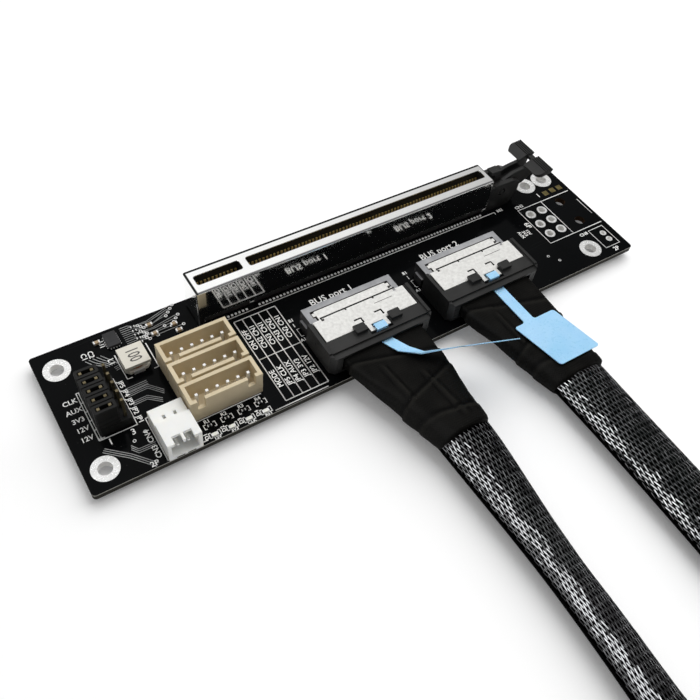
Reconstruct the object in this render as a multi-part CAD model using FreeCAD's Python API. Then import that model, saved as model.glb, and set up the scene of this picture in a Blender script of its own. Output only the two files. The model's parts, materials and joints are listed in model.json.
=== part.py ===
import FreeCAD, Part
import math
import os

# Slot board of a PCIe extension cable with its two plugged-in cables, in millimetres.
# X runs along the slot, Y to the back, Z up. The origin is the middle of the four
# mounting holes, on the underside of the board.

# Circuit board
board_thick = 1.6
hole_spacing_x = 139.4
hole_spacing_y = 28.5
hole_radius = 1.6
land_radius = 3.1
land_thick = 0.08
margin_left = 4.6
margin_right = 11.6
margin_front = 4.9
margin_back = 5.85
corner_radius = 0.9
spare_hole_step = 6.3
tail_drop = 1.8

# Empty connector places on the board
power_place = (63.4, 4.05)
power_place_pitch = 4.2
power_place_bore = 0.9
locating_place = (74.9, 4.3)
locating_pitch = 8.5
locating_bore = 1.5
fan_place = (77.4, -11.3)
fan_place_pitch = 2.5
fan_place_bore = 0.5

# Fits
moving_gap = 0.3
slip_gap = 0.1
pin_side = 0.64

# Card slot
slot_left = -36.3
slot_middle = 14.65
slot_depth = 7.8
slot_height = 11.6
slot_end_wall = 1.5
contact_pitch = 1.0
contact_width = 0.5
contact_sheet = 0.25
contact_stem = 1.0
contact_bow = 0.65
contact_bow_rise = 7.8
contact_tip_rise = 9.6
short_count = 11
long_count = 71
pocket_spare = 0.8
key_rib = 1.75
mouth_width = 3.0
mouth_corner = 0.6
shield_sheet = 0.3
shield_bend = 0.5
slot_standoff = 0.45
shield_hem = 2.4
shield_tab_width = 1.2
shield_tab_inset = 0.4
shield_tab_drop = 0.9
peg_radius = 0.8
peg_step = 0.6
pad_half_width = 2.3
foot_reach = 0.75
spine_width = 0.9
spine_rise = 2.8

# Slot latch
cheek_length = 9.0
cheek_sheet = 1.3
cheek_rise = 8.4
cheek_foot_cut = 2.0
cheek_top_cut = 2.4
cheek_tip_below = 1.0
cheek_tip_above = 1.6
neck_length = 1.5
neck_rise = 8.2
hub_width = 4.0
hub_radius = 2.4
pivot_radius = 0.85
pivot_rise = 5.5
hook_width = 2.4
arm_sheet = 1.0
ear_span = 14.2
ear_round = 2.2
ear_rib_count = 5
ear_rib_depth = 0.35

# Slot latch seen along Y, measured from its pivot: X, Z
hook_outline = [(-1.6, 0.0), (-1.9, 4.6), (-3.2, 5.2), (-3.2, 6.0), (-0.4, 6.0), (1.2, 1.0)]
arm_top = [(12.2, 4.6), (9.6, 4.4), (4.2, 3.8), (1.0, 2.3)]
arm_underside = [(0.0, -1.8), (5.0, -1.9), (9.0, -1.0), (11.6, 0.8)]
web_outline = [(1.4, -1.0), (9.4, 1.6), (9.4, 2.6), (1.0, 0.8)]
bar_outline = [(11.6, 4.5), (13.2, 4.6), (13.2, 5.3), (11.6, 5.3)]
ear_underside = [(13.5, 4.5), (10.4, 4.1), (8.8, 4.2), (8.5, 4.7)]
ear_ribs_start = (10.9, 5.7)
ear_ribs_end = (14.1, 5.9)

# Power headers
header_left = -49.35
header_front = -12.85
header_row_pitch = 6.37
header_count = 3
header_pins = 6
header_pitch = 2.5
header_length = 17.4
header_depth = 5.75
header_height = 7.0
header_wall = 0.9
header_floor = 1.8
header_pin_front = 2.35
header_pin_rise = 6.3
notch_width = 1.9
notch_inset = 1.7
notch_deep = 2.9

# Side header
side_gap = 0.35
side_width = 7.8
side_box_length = 6.4
side_tail_length = 4.4
side_box_height = 5.8
side_tail_height = 4.6
side_wall = 0.85
side_mouth_deep = 5.4
side_pitch = 2.5
side_pin_rise = 3.0
side_leg_inset = 0.5
side_notch_deep = 1.9
side_foot_deep = 0.8
side_foot_rise = 0.35
side_window_setback = 1.0
side_window_length = 1.0
side_pin_setback = 1.2

# Jumper block
jumper_middle = (-63.9, -0.5)
jumper_pitch = 2.54
jumper_rows = 5
jumper_columns = 3
jumper_base_height = 2.5
jumper_base_chamfer = 0.4
jumper_cap_height = 6.0
jumper_cap_length = 5.0
jumper_cap_width = 2.3
jumper_cap_wall = 0.65
jumper_cap_chamfer = 0.3

# Inductor and control chip
inductor_gap = 1.4
inductor_row = 8.2
inductor_side = 6.0
inductor_height = 3.0
inductor_flange = 0.85
inductor_post = 1.5
winding_radius = 2.6
inductor_corner_cut = 0.9
inductor_terminal = (2.6, 0.25)
inductor_foot = 1.4
control_middle = (-55.9, 16.4)
control_size = (3.0, 4.2, 0.9)
control_lead = (0.26, 0.4, 0.12)
control_lead_pitch = 0.65
control_lead_counts = (6, 4)

# Chip resistors, capacitors and indicators: length, width, height
small_chip = (1.0, 0.5, 0.35)
large_chip = (1.6, 0.8, 0.7)
indicator_chip = (1.6, 0.8, 0.5)
termination_share = 0.22
indicator_first = -46.4
indicator_step = 4.15
indicator_count = 4
indicator_row = -17.9
indicator_resistor_row = -15.3
column_resistors = (-50.2, 17.9)
column_step = 1.25
column_count = 5
capacitor_places = [(-41.3, 14.2), (-41.0, 11.9), (-46.6, 16.6), (-46.4, 13.6), (-59.2, 17.2)]

# Cable sockets
port_middles = (-2.0, 32.1)
socket_back = 0.35
socket_depth = 5.35
socket_width = 25.4
socket_height = 5.0
socket_wall = 0.6
socket_roof = 0.9
socket_floor = 1.3
socket_back_wall = 0.95
cutout_back = 1.6
cutout_step = 1.7
cutout_flare = 0.5
ear_plate = (0.6, 3.0, 2.6)
ear_plate_inset = 1.0
signal_count = 37
signal_pitch = 0.6
signal_width = 0.25
signal_sheet = 0.25
signal_foot = 1.0
signal_setback = 0.8

# Cable plug, measured from its mating face and its underside
plug_seat = 0.4
plug_lift = 0.3
plug_width = 28.6
plug_length = 11.6
plug_height = 6.2
plug_rim = 0.8
plug_rim_rise = 0.4
plug_corner = 1.2
lip_length = 1.6
lip_drop = 0.5
lip_sheet = 0.7
card_width = 22.2
card_sheet = 1.0
card_rise = 1.9
card_reach = 4.2
card_root = 4.0
guide_width = 0.6
guide_height = 2.2
guide_setback = 0.6

# Plug latch
latch_sheet = 0.3
latch_width = 25.6
latch_length = 6.4
latch_rise = 5.95
latch_pocket = 1.1
tongue_width = 20.4
tongue_tip = 3.9
tongue_rise = 4.4
tongue_root = 0.45
barb_reach = 0.8
barb_length = 1.0
barb_setback = 0.4
loop_width = 5.6
loop_window = 3.4
loop_length = 2.2
loop_bar = 0.7
loop_web = 0.3
loop_shift = 0.9
post_width = 3.0
post_length = 1.6
post_rise = 1.0
post_lip = 0.7
well_length = 3.0
slit_width = 0.25
slit_place = (1.9, 4.0)
slit_size = (1.9, 1.4)
relief_width = 0.7
relief_deep = 0.6
nick_width = 1.2
nick_deep = 0.5

# Pull tab, tape and sleeve
film_sheet = 0.25
film_gap = 0.35
strip_width = 3.0
paddle_start = 23.4
paddle_length = 14.0
paddle_width = 12.5
near_skew = (1.5, 4.3)
far_skew = (0.0, 0.0)
turned_bends = [(1.4, 4.5, 0.9), (4.0, 8.2, 2.2), (10.8, 11.6, 4.0)]
turned_paddle_width = 11.0
turned_paddle_run = (11.0, -5.4, 2.2)
tape_width = 22.0
tape_depth = 3.6
tape_rise = 0.9
tape_start = 8.9
tape_recess_gap = 0.3
tape_wrap_extra = 0.5
tape_corner_first = 0.3
tape_corner_last = 0.95
tape_corner_facets = 3
tape_shares = ((0.0, 0.0), (0.12, 0.0), (0.48, 0.42), (0.8, 0.82), (1.0, 1.0))
sleeve_sizes = ((10.8, 10.0), (13.4, 7.6))
sleeve_sides = 24
routes = (
    [(1.0, -46.0), (1.0, -80.0), (-1.8, -120.0), (-0.5, -162.0), (2.0, -204.0), (2.0, -238.0)],
    [(35.7, -46.0), (35.7, -80.0), (34.0, -120.0), (35.5, -162.0), (37.5, -204.0), (37.5, -238.0)],
)

# Worked-out levels and places
board_left = -hole_spacing_x / 2 - margin_left
board_right = hole_spacing_x / 2 + margin_right
board_front = -hole_spacing_y / 2 - margin_front
board_rear = hole_spacing_y / 2 + margin_back
floor_z = -tail_drop
top = board_thick
short_pocket = short_count * contact_pitch + pocket_spare
long_pocket = long_count * contact_pitch + pocket_spare
slot_length = 2 * slot_end_wall + short_pocket + key_rib + long_pocket
slot_right = slot_left + slot_length
side_left = header_left - side_gap - side_width
inductor_middle = (header_left - inductor_gap - inductor_side / 2, inductor_row)
plug_face = socket_back - socket_depth - plug_seat
tape_end = routes[0][0][1] - plug_face


def point(x, y, z):
    return FreeCAD.Vector(x, y, z)


def block(x0, x1, y0, y1, z0, z1):
    return Part.makeBox(x1 - x0, y1 - y0, z1 - z0, point(x0, y0, z0))


def square_pin(x, y, z0, z1):
    half = pin_side / 2
    return block(x - half, x + half, y - half, y + half, z0, z1)


def drum(x, y, z0, z1, radius):
    return Part.makeCylinder(radius, z1 - z0, point(x, y, z0))


def cross_drum(x, y0, y1, z, radius):
    return Part.makeCylinder(radius, y1 - y0, point(x, y0, z), point(0, 1, 0))


def closed_wire(corners):
    return Part.makePolygon(corners + corners[:1])


def prism(corners, along):
    return Part.Face(closed_wire(corners)).extrude(along)


def prism_x(outline, x0, x1):
    return prism([point(x0, y, z) for y, z in outline], point(x1 - x0, 0, 0))


def prism_y(outline, y0, y1):
    return prism([point(x, y0, z) for x, z in outline], point(0, y1 - y0, 0))


def prism_z(outline, z0, z1):
    return prism([point(x, y, z0) for x, y in outline], point(0, 0, z1 - z0))


def fuse(first, *others):
    return first.fuse(list(others)).removeSplitter()


def upright_edges(shape):
    return [e for e in shape.Edges if abs(e.tangentAt(e.FirstParameter).z) > 0.99]


def soft_section(x, half_width, y, z0, z1, share):
    """Closed outline across Y with faceted round corners, a share of the half height each."""
    radius = share * min(half_width, (z1 - z0) / 2)
    across, middle = half_width - radius, (z0 + z1) / 2
    rise = (z1 - z0) / 2 - radius
    corners = []
    for quarter, (sx, sz) in enumerate(((1, 1), (-1, 1), (-1, -1), (1, -1))):
        for step in range(tape_corner_facets + 1):
            turn = math.pi / 2 * (quarter + step / tape_corner_facets)
            out, up = radius * math.cos(turn), radius * math.sin(turn)
            corners.append(point(x + sx * across + out, y, middle + sz * rise + up))
    return closed_wire(corners)


def rounded_slab(x0, x1, y0, y1, z0, z1, radius):
    slab = block(x0, x1, y0, y1, z0, z1)
    return slab.makeFillet(radius, upright_edges(slab))


# Places that the board shares with what stands on it
def mounting_places():
    x, y = hole_spacing_x / 2, hole_spacing_y / 2
    corners = [(-x, -y), (x, -y), (-x, y), (x, y)]
    return corners + [(x + spare_hole_step, y)]


def header_front_of(row):
    return header_front + row * header_row_pitch


def header_pin_places(row):
    first = header_left + (header_length - (header_pins - 1) * header_pitch) / 2
    y = header_front_of(row) + header_pin_front
    return [(first + i * header_pitch, y) for i in range(header_pins)]


def side_pin_places():
    middle = side_left + side_width / 2
    y = board_front + side_box_length + side_tail_length - side_leg_inset - pin_side / 2
    return [(middle + side * side_pitch / 2, y) for side in (-1, 1)]


def jumper_place(column, row):
    x = jumper_middle[0] + (column - (jumper_columns - 1) / 2) * jumper_pitch
    y = jumper_middle[1] + (row - (jumper_rows - 1) / 2) * jumper_pitch
    return x, y


def jumper_places():
    return [jumper_place(c, r) for c in range(jumper_columns) for r in range(jumper_rows)]


def shield_tab_places():
    """Left edges of the shield's tabs, at the ends and the key, clear of the contact feet."""
    key_middle = slot_left + slot_end_wall + short_pocket + key_rib / 2
    last = slot_right - shield_tab_inset - shield_tab_width
    return [slot_left + shield_tab_inset, key_middle - shield_tab_width / 2, last]


def peg_places():
    key_middle = slot_left + slot_end_wall + short_pocket + key_rib / 2
    return [(key_middle, slot_middle), (slot_right + peg_step, slot_middle)]


def pockets():
    """The two card pockets, each as its left end, its length and its contact count."""
    second = slot_left + slot_end_wall + short_pocket + key_rib
    return [
        (slot_left + slot_end_wall, short_pocket, short_count),
        (second, long_pocket, long_count),
    ]


# Board
def circuit_board():
    board = rounded_slab(board_left, board_right, board_front, board_rear, 0, top, corner_radius)
    bores = [(x, y, hole_radius) for x, y in mounting_places()]
    x, y = power_place
    for column in range(2):
        for row in range(3):
            place = (x + column * power_place_pitch, y - row * power_place_pitch)
            bores.append((*place, power_place_bore))
    for row in range(2):
        bores.append((locating_place[0], locating_place[1] - row * locating_pitch, locating_bore))
        bores.append((fan_place[0], fan_place[1] - row * fan_place_pitch, fan_place_bore))
    bores += [(x, y, peg_radius + slip_gap) for x, y in peg_places()]
    cuts = [drum(x, y, 0, top, radius) for x, y, radius in bores]
    pins = side_pin_places() + jumper_places()
    for row in range(header_count):
        pins += header_pin_places(row)
    cuts += [square_pin(x, y, 0, top) for x, y in pins]
    cuts += [tab for tab in shield_tabs(0, top)]
    return board.cut(cuts)


def mounting_hole_lands():
    rings = []
    for x, y in mounting_places():
        for z in (top, -land_thick):
            disc = drum(x, y, z, z + land_thick, land_radius)
            rings.append(disc.cut(drum(x, y, z, z + land_thick, hole_radius)))
    return Part.makeCompound(rings)


# Card slot
def shield_tabs(z0, z1):
    tabs = []
    for x in shield_tab_places():
        for side in (-1, 1):
            outer = slot_middle + side * slot_depth / 2
            inner = outer - side * shield_sheet
            y0, y1 = min(outer, inner), max(outer, inner)
            tabs.append(block(x, x + shield_tab_width, y0, y1, z0, z1))
    return tabs


def neck_half():
    return hub_width / 2 + moving_gap + cheek_sheet


def slot_shield():
    y0, y1 = slot_middle - slot_depth / 2, slot_middle + slot_depth / 2
    z0, z1 = top + slot_standoff, top + slot_height
    can = block(slot_left, slot_right, y0, y1, z0, z1)
    outer = [e for e in can.Edges if max(v.Z for v in e.Vertexes) > z1 - 1e-6]
    can = can.makeFillet(shield_bend, outer)
    s = shield_sheet
    can = can.cut(block(slot_left + s, slot_right - s, y0 + s, y1 - s, z0, z1 - s))
    half = mouth_width / 2
    for x, length, _ in pockets():
        mouth = rounded_slab(
            x, x + length, slot_middle - half, slot_middle + half, z1 - 2 * s, z1, mouth_corner
        )
        can = can.cut(mouth)
    tabs = shield_tab_places()
    for left, right in zip(tabs, tabs[1:]):
        can = can.cut(block(left + shield_tab_width, right, y0, y1, z0, top + shield_hem))
    half = neck_half() + slip_gap
    high = top + neck_rise + slip_gap
    window = block(slot_right - 2 * s, slot_right, slot_middle - half, slot_middle + half, z0, high)
    return fuse(can.cut(window), *shield_tabs(-shield_tab_drop, z0 + shield_sheet))


def slot_housing():
    inset = shield_sheet + slip_gap
    x0, x1 = slot_left + inset, slot_right - inset
    y0, y1 = slot_middle - slot_depth / 2 + inset, slot_middle + slot_depth / 2 - inset
    z0, z1 = top + slot_standoff, top + slot_height - shield_sheet
    body = block(x0, x1, y0, y1, z0, z1)
    half, spine = mouth_width / 2, spine_width / 2
    spines = []
    for x, length, _ in pockets():
        body = body.cut(block(x, x + length, slot_middle - half, slot_middle + half, z0, z1))
        spines.append(
            block(x, x + length, slot_middle - spine, slot_middle + spine, z0, z0 + spine_rise)
        )
    pegs = [drum(x, y, floor_z, z0 + spine_rise, peg_radius) for x, y in peg_places()]
    end = slot_right + neck_length
    pad_end = slot_left + slot_end_wall
    pad = block(x0, pad_end, slot_middle - pad_half_width, slot_middle + pad_half_width, top, z0)
    neck = block(x1, end, slot_middle - neck_half(), slot_middle + neck_half(), top, top + neck_rise)
    cheeks = []
    for side in (-1, 1):
        outer = slot_middle + side * neck_half()
        inner = outer - side * cheek_sheet
        cheek = prism_y(cheek_outline(end), min(outer, inner), max(outer, inner))
        bore_radius = pivot_radius + moving_gap
        bore = cross_drum(pivot_x(), min(outer, inner), max(outer, inner), top + pivot_rise, bore_radius)
        cheeks.append(cheek.cut(bore))
    return fuse(body, *spines, *pegs, pad, neck, *cheeks)


def cheek_outline(start):
    tip = start + cheek_length
    return [
        (start, top),
        (tip - cheek_foot_cut, top),
        (tip, top + pivot_rise - cheek_tip_below),
        (tip, top + pivot_rise + cheek_tip_above),
        (tip - cheek_top_cut, top + cheek_rise),
        (start, top + cheek_rise),
    ]


def pivot_x():
    return slot_right + neck_length + hub_radius + 2 * moving_gap


def slot_contacts(side):
    """One row of spring contacts, with feet that reach out under the shield's wall."""
    reach = slot_depth / 2 + foot_reach
    s = contact_sheet
    outline = [
        (reach, s),
        (reach, 0),
        (contact_stem, 0),
        (contact_bow, contact_bow_rise),
        (contact_stem, contact_tip_rise),
        (contact_stem + s, contact_tip_rise),
        (contact_bow + s, contact_bow_rise),
        (contact_stem + s, s),
    ]
    outline = [(slot_middle + side * out, top + rise) for out, rise in outline]
    contacts = []
    for x, length, count in pockets():
        first = x + (length - (count - 1) * contact_pitch - contact_width) / 2
        for i in range(count):
            start = first + i * contact_pitch
            contacts.append(prism_x(outline, start, start + contact_width))
    return Part.makeCompound(contacts)


def slot_latch():
    x, z = pivot_x(), top + pivot_rise
    half = hub_width / 2
    y0, y1 = slot_middle - half, slot_middle + half
    trunnion = neck_half() - slip_gap
    axle = cross_drum(x, slot_middle - trunnion, slot_middle + trunnion, z, pivot_radius)
    hub = cross_drum(x, y0, y1, z, hub_radius)
    hook = prism_y(
        from_pivot(hook_outline), slot_middle - hook_width / 2, slot_middle + hook_width / 2
    )
    arm = from_pivot(arm_underside + arm_top)
    arms = [prism_y(arm, y0, y0 + arm_sheet), prism_y(arm, y1 - arm_sheet, y1)]
    web = prism_y(from_pivot(web_outline), y0, y1)
    bar = prism_y(from_pivot(bar_outline), y0, y1)
    return fuse(hub, axle, hook, *arms, web, bar, latch_ear(-1), latch_ear(1))


def from_pivot(outline):
    return [(pivot_x() + x, top + pivot_rise + z) for x, z in outline]


def latch_ear(side):
    """Thumb ear, with its front outer corner rounded in plan."""
    inner = slot_middle + side * (hub_width / 2 - arm_sheet)
    outer = slot_middle + side * ear_span / 2
    ear = prism_y(ear_outline(), min(inner, outer), max(inner, outer))
    box = ear.BoundBox
    x, y = box.XMin + ear_round, outer - side * ear_round
    corner = block(box.XMin, x, min(y, outer), max(y, outer), box.ZMin, box.ZMax)
    return ear.cut(corner.cut(drum(x, y, box.ZMin, box.ZMax, ear_round)))


def ear_outline():
    """Thumb ear seen along Y: a smooth ramp rises to a crest, and the pad behind it is ribbed."""
    (x0, z0), (x1, z1) = ear_ribs_start, ear_ribs_end
    corners = list(ear_underside)
    for i in range(ear_rib_count):
        left, middle = i / ear_rib_count, (i + 0.5) / ear_rib_count
        for share, drop in ((left, 0), (middle, 0), (middle, ear_rib_depth)):
            corners.append((x0 + (x1 - x0) * share, z0 + (z1 - z0) * share - drop))
        right = (i + 1) / ear_rib_count
        corners.append((x0 + (x1 - x0) * right, z0 + (z1 - z0) * right - ear_rib_depth))
    return from_pivot(corners)


# Headers
def power_header(row):
    x0, x1 = header_left, header_left + header_length
    y0 = header_front_of(row)
    y1 = y0 + header_depth
    z1 = top + header_height
    w = header_wall
    body = block(x0, x1, y0, y1, top, z1)
    body = body.cut(block(x0 + w, x1 - w, y0 + w, y1 - w, top + header_floor, z1))
    for start in (x0 + notch_inset, x1 - notch_inset - notch_width):
        body = body.cut(block(start, start + notch_width, y0, y0 + w, z1 - notch_deep, z1))
    return body.cut([square_pin(x, y, top, z1) for x, y in header_pin_places(row)])


def power_header_pins(row):
    tip = top + header_pin_rise
    return Part.makeCompound([square_pin(x, y, floor_z, tip) for x, y in header_pin_places(row)])


def side_header():
    x0, x1 = side_left, side_left + side_width
    y0 = board_front
    y1 = y0 + side_box_length
    y2 = y1 + side_tail_length
    z1, z2 = top + side_box_height, top + side_tail_height
    w = side_wall
    box = block(x0, x1, y0, y1, top, z1)
    box = box.cut(block(x0 + w, x1 - w, y0, y0 + side_mouth_deep, top + w, z1 - w))
    body = fuse(box, block(x0, x1, y1, y2, top, z2))
    half, key = pin_side / 2, notch_width / 2
    low, high = top + side_pin_rise - half, top + side_pin_rise + half
    window = y1 + side_window_setback
    cuts = []
    for x, y in side_pin_places():
        cuts.append(block(x - key, x + key, y0, y0 + side_notch_deep, z1 - w, z1))
        cuts.append(block(x - key, x + key, y0, y0 + side_foot_deep, top, top + side_foot_rise))
        cuts.append(block(x - half, x + half, y0, y2, low, high))
        cuts.append(block(x - half, x + half, y - half, y2, top, high))
        cuts.append(block(x - half, x + half, window, window + side_window_length, low, z2))
    return body.cut(cuts)


def side_header_pins():
    half = pin_side / 2
    pins = []
    for x, y in side_pin_places():
        z = top + side_pin_rise
        leg = square_pin(x, y, floor_z, z + half)
        blade = block(x - half, x + half, board_front + side_pin_setback, y, z - half, z + half)
        pins.append(fuse(leg, blade))
    return Part.makeCompound(pins)


def jumper_header():
    x0, x1 = jumper_place(0, 0)[0], jumper_place(jumper_columns - 1, 0)[0]
    half = jumper_pitch / 2
    z1 = top + jumper_base_height
    rows = []
    for row in range(jumper_rows):
        y = jumper_place(0, row)[1]
        bar = block(x0 - half, x1 + half, y - half, y + half, top, z1)
        rows.append(bar.makeChamfer(jumper_base_chamfer, upright_edges(bar)))
    return fuse(*rows).cut([square_pin(x, y, top, z1) for x, y in jumper_places()])


def jumper_pins():
    tip = top + jumper_base_height + jumper_cap_height
    return Part.makeCompound([square_pin(x, y, floor_z, tip) for x, y in jumper_places()])


def jumper_cap(row):
    left, y = jumper_place(0, row)
    right, _ = jumper_place(1, row)
    x = (left + right) / 2
    a, b, w = jumper_cap_length / 2, jumper_cap_width / 2, jumper_cap_wall
    z0 = top + jumper_base_height
    z1 = z0 + jumper_cap_height
    cap = block(x - a, x + a, y - b, y + b, z0, z1)
    cap = cap.makeChamfer(jumper_cap_chamfer, upright_edges(cap))
    return cap.cut(block(x - a + w, x + a - w, y - b + w, y + b - w, z0, z1))


# Small parts
def inductor_core():
    x, y = inductor_middle
    half = inductor_side / 2
    cut = inductor_corner_cut
    outline = [
        (x - half + cut, y - half),
        (x + half - cut, y - half),
        (x + half, y - half + cut),
        (x + half, y + half - cut),
        (x + half - cut, y + half),
        (x - half + cut, y + half),
        (x - half, y + half - cut),
        (x - half, y - half + cut),
    ]
    sheet = inductor_terminal[1]
    z1 = top + inductor_height
    base = prism_z(outline, top + sheet, top + sheet + inductor_flange)
    cap = block(x - half, x + half, y - half, y + half, z1 - inductor_flange, z1)
    return fuse(base, drum(x, y, top + sheet, z1, inductor_post), cap)


def inductor_winding():
    x, y = inductor_middle
    z0 = top + inductor_terminal[1] + inductor_flange
    z1 = top + inductor_height - inductor_flange
    return drum(x, y, z0, z1, winding_radius).cut(drum(x, y, z0, z1, inductor_post + slip_gap))


def inductor_terminals():
    x, y = inductor_middle
    width, sheet = inductor_terminal
    clips = []
    for side in (-1, 1):
        edge = y + side * inductor_side / 2
        inner, outer = edge - side * inductor_foot, edge + side * sheet
        foot = block(x - width / 2, x + width / 2, min(inner, outer), max(inner, outer), top, top + sheet)
        rise = block(
            x - width / 2,
            x + width / 2,
            min(edge, outer),
            max(edge, outer),
            top,
            top + sheet + inductor_flange,
        )
        clips.append(fuse(foot, rise))
    return Part.makeCompound(clips)


def control_chip():
    x, y = control_middle
    width, depth, height = control_size
    z0 = top + control_lead[2]
    return block(x - width / 2, x + width / 2, y - depth / 2, y + depth / 2, z0, top + height)


def control_chip_leads():
    x, y = control_middle
    width, depth, _ = control_size
    lead_width, lead_reach, lead_height = control_lead
    leads = []
    along_y, along_x = control_lead_counts
    for other, count, across in ((width / 2, along_y, True), (depth / 2, along_x, False)):
        for i in range(count):
            along = (i - (count - 1) / 2) * control_lead_pitch
            for side in (-1, 1):
                inner, outer = side * (other - lead_reach), side * (other + lead_reach / 2)
                a0, a1 = along - lead_width / 2, along + lead_width / 2
                b0, b1 = min(inner, outer), max(inner, outer)
                spans = (b0, b1, a0, a1) if across else (a0, a1, b0, b1)
                leads.append(
                    block(x + spans[0], x + spans[1], y + spans[2], y + spans[3], top, top + lead_height)
                )
    return Part.makeCompound(leads)


def resistor_places():
    x, y = column_resistors
    column = [(x, y - i * column_step) for i in range(column_count)]
    row = [(indicator_first + i * indicator_step, indicator_resistor_row) for i in range(indicator_count)]
    return column + row


def indicator_places():
    return [(indicator_first + i * indicator_step, indicator_row) for i in range(indicator_count)]


def chip_bodies(places, size):
    length, width, height = size
    half = length / 2 - length * termination_share
    solids = []
    for x, y in places:
        solids.append(block(x - half, x + half, y - width / 2, y + width / 2, top, top + height))
    return solids


def chip_ends(places, size):
    length, width, height = size
    cap = length * termination_share
    solids = []
    for x, y in places:
        for start in (x - length / 2, x + length / 2 - cap):
            solids.append(block(start, start + cap, y - width / 2, y + width / 2, top, top + height))
    return solids


def chip_resistors():
    return Part.makeCompound(chip_bodies(resistor_places(), small_chip))


def chip_capacitors():
    return Part.makeCompound(chip_bodies(capacitor_places, large_chip))


def indicator_lights():
    return Part.makeCompound(chip_bodies(indicator_places(), indicator_chip))


def chip_terminals():
    ends = chip_ends(resistor_places(), small_chip)
    ends += chip_ends(capacitor_places, large_chip)
    ends += chip_ends(indicator_places(), indicator_chip)
    return Part.makeCompound(ends)


# Cable sockets
def card_level():
    """Underside of the mated paddle card above the floor of the frame."""
    return top + plug_lift + card_rise


def cable_socket(x):
    half = socket_width / 2
    y0, y1 = socket_back - socket_depth, socket_back
    z1 = top + socket_height
    body = block(x - half, x + half, y0, y1, top, z1)
    inner = half - socket_wall
    back = y1 - socket_back_wall
    body = body.cut(block(x - inner, x + inner, y0, back, top + socket_floor, z1 - socket_roof))
    narrow = tongue_width / 2 + cutout_flare
    wide = narrow + cutout_flare
    body = body.cut(block(x - narrow, x + narrow, y0, y1 - cutout_back, z1 - socket_roof, z1))
    body = body.cut(block(x - wide, x + wide, y0 + cutout_step, y1 - cutout_back, z1 - socket_roof, z1))
    row = signal_count * signal_pitch / 2
    slit_z = card_level() + card_sheet
    body = body.cut(block(x - row, x + row, back, y1, slit_z, slit_z + signal_sheet))
    ears = []
    out, length, height = ear_plate
    for side in (-1, 1):
        a, b = x + side * half, x + side * (half + out)
        end = y1 - ear_plate_inset
        ears.append(block(min(a, b), max(a, b), end - length, end, top, top + height))
    return fuse(body, *ears)


def socket_contacts(x):
    """Upper springs run out through the back wall to feet, lower ones stand on the floor."""
    front, back = socket_back - socket_depth + signal_setback, socket_back
    upper = card_level() + card_sheet
    s = signal_sheet
    spring = [
        (front, upper),
        (back, upper),
        (back, top),
        (back + signal_foot, top),
        (back + signal_foot, top + s),
        (back + s, top + s),
        (back + s, upper + s),
        (front, upper + s),
    ]
    contacts = []
    for i in range(signal_count):
        start = x + (i - (signal_count - 1) / 2) * signal_pitch - signal_width / 2
        contacts.append(prism_x(spring, start, start + signal_width))
        contacts.append(
            block(
                start,
                start + signal_width,
                front,
                back - socket_back_wall,
                top + socket_floor,
                card_level(),
            )
        )
    return Part.makeCompound(contacts)


# Cable plug, in its own frame: mating face at Y 0, cable towards minus Y, underside at Z 0
def plug_housing():
    half = plug_width / 2
    body = block(-half, half, -plug_length, 0, 0, plug_height)
    rear = [
        e
        for e in body.Edges
        if abs(e.CenterOfMass.y + plug_length) < 1e-6 and abs(abs(e.CenterOfMass.x) - half) < 1e-6
    ]
    body = body.makeChamfer(plug_corner, rear)
    rims = []
    for side in (-1, 1):
        a, b = side * half, side * (half - plug_rim)
        rims.append(
            block(
                min(a, b),
                max(a, b),
                -plug_length + lip_length,
                0,
                plug_height,
                plug_height + plug_rim_rise,
            )
        )
    recess_half = tape_width / 2 + tape_recess_gap
    lip_top = plug_height - lip_drop
    cuts = [
        block(
            -half + plug_rim,
            half - plug_rim,
            -plug_length,
            -plug_length + lip_length,
            lip_top,
            plug_height,
        ),
        block(
            -recess_half,
            recess_half,
            -plug_length,
            -tape_start,
            tape_rise - tape_recess_gap,
            lip_top - lip_sheet,
        ),
        block(
            -latch_width / 2 - moving_gap,
            latch_width / 2 + moving_gap,
            -latch_length - slip_gap,
            0,
            plug_height - latch_pocket,
            plug_height,
        ),
        block(
            loop_shift - loop_width / 2 - moving_gap,
            loop_shift + loop_width / 2 + moving_gap,
            -latch_length - well_length,
            -latch_length,
            tape_rise + tape_depth,
            plug_height,
        ),
        card_blank(),
    ]
    ridge = block(
        -latch_width / 4,
        latch_width / 4,
        -latch_length - slip_gap,
        -latch_length + post_lip,
        plug_height - latch_pocket,
        latch_rise - moving_gap,
    )
    guide_inner = card_width / 2 + slip_gap
    guide_level = card_rise + card_sheet / 2 - guide_height / 2
    guides = []
    for side in (-1, 1):
        a, b = side * guide_inner, side * (guide_inner + guide_width)
        reach = card_reach - guide_setback
        guides.append(block(min(a, b), max(a, b), 0, reach, guide_level, guide_level + guide_height))
    return fuse(body.cut(cuts), *rims, *plug_posts(), ridge, *guides)


def plug_posts():
    """Two posts beside the loop, whose lips keep the latch's rear edge down."""
    start = loop_width / 2 + 2 * moving_gap
    posts = []
    y1 = -latch_length - slip_gap
    for side in (-1, 1):
        a = loop_shift + side * start
        b = a + side * post_width
        x0, x1 = min(a, b), max(a, b)
        stem = block(x0, x1, y1 - post_length, y1, plug_height, plug_height + post_rise)
        lip = block(
            x0, x1, y1, y1 + post_lip, latch_rise + latch_sheet + moving_gap, plug_height + post_rise
        )
        posts.append(fuse(stem, lip))
    return posts


def card_blank():
    half = card_width / 2
    return block(-half, half, -card_root, card_reach, card_rise, card_rise + card_sheet)


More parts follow.
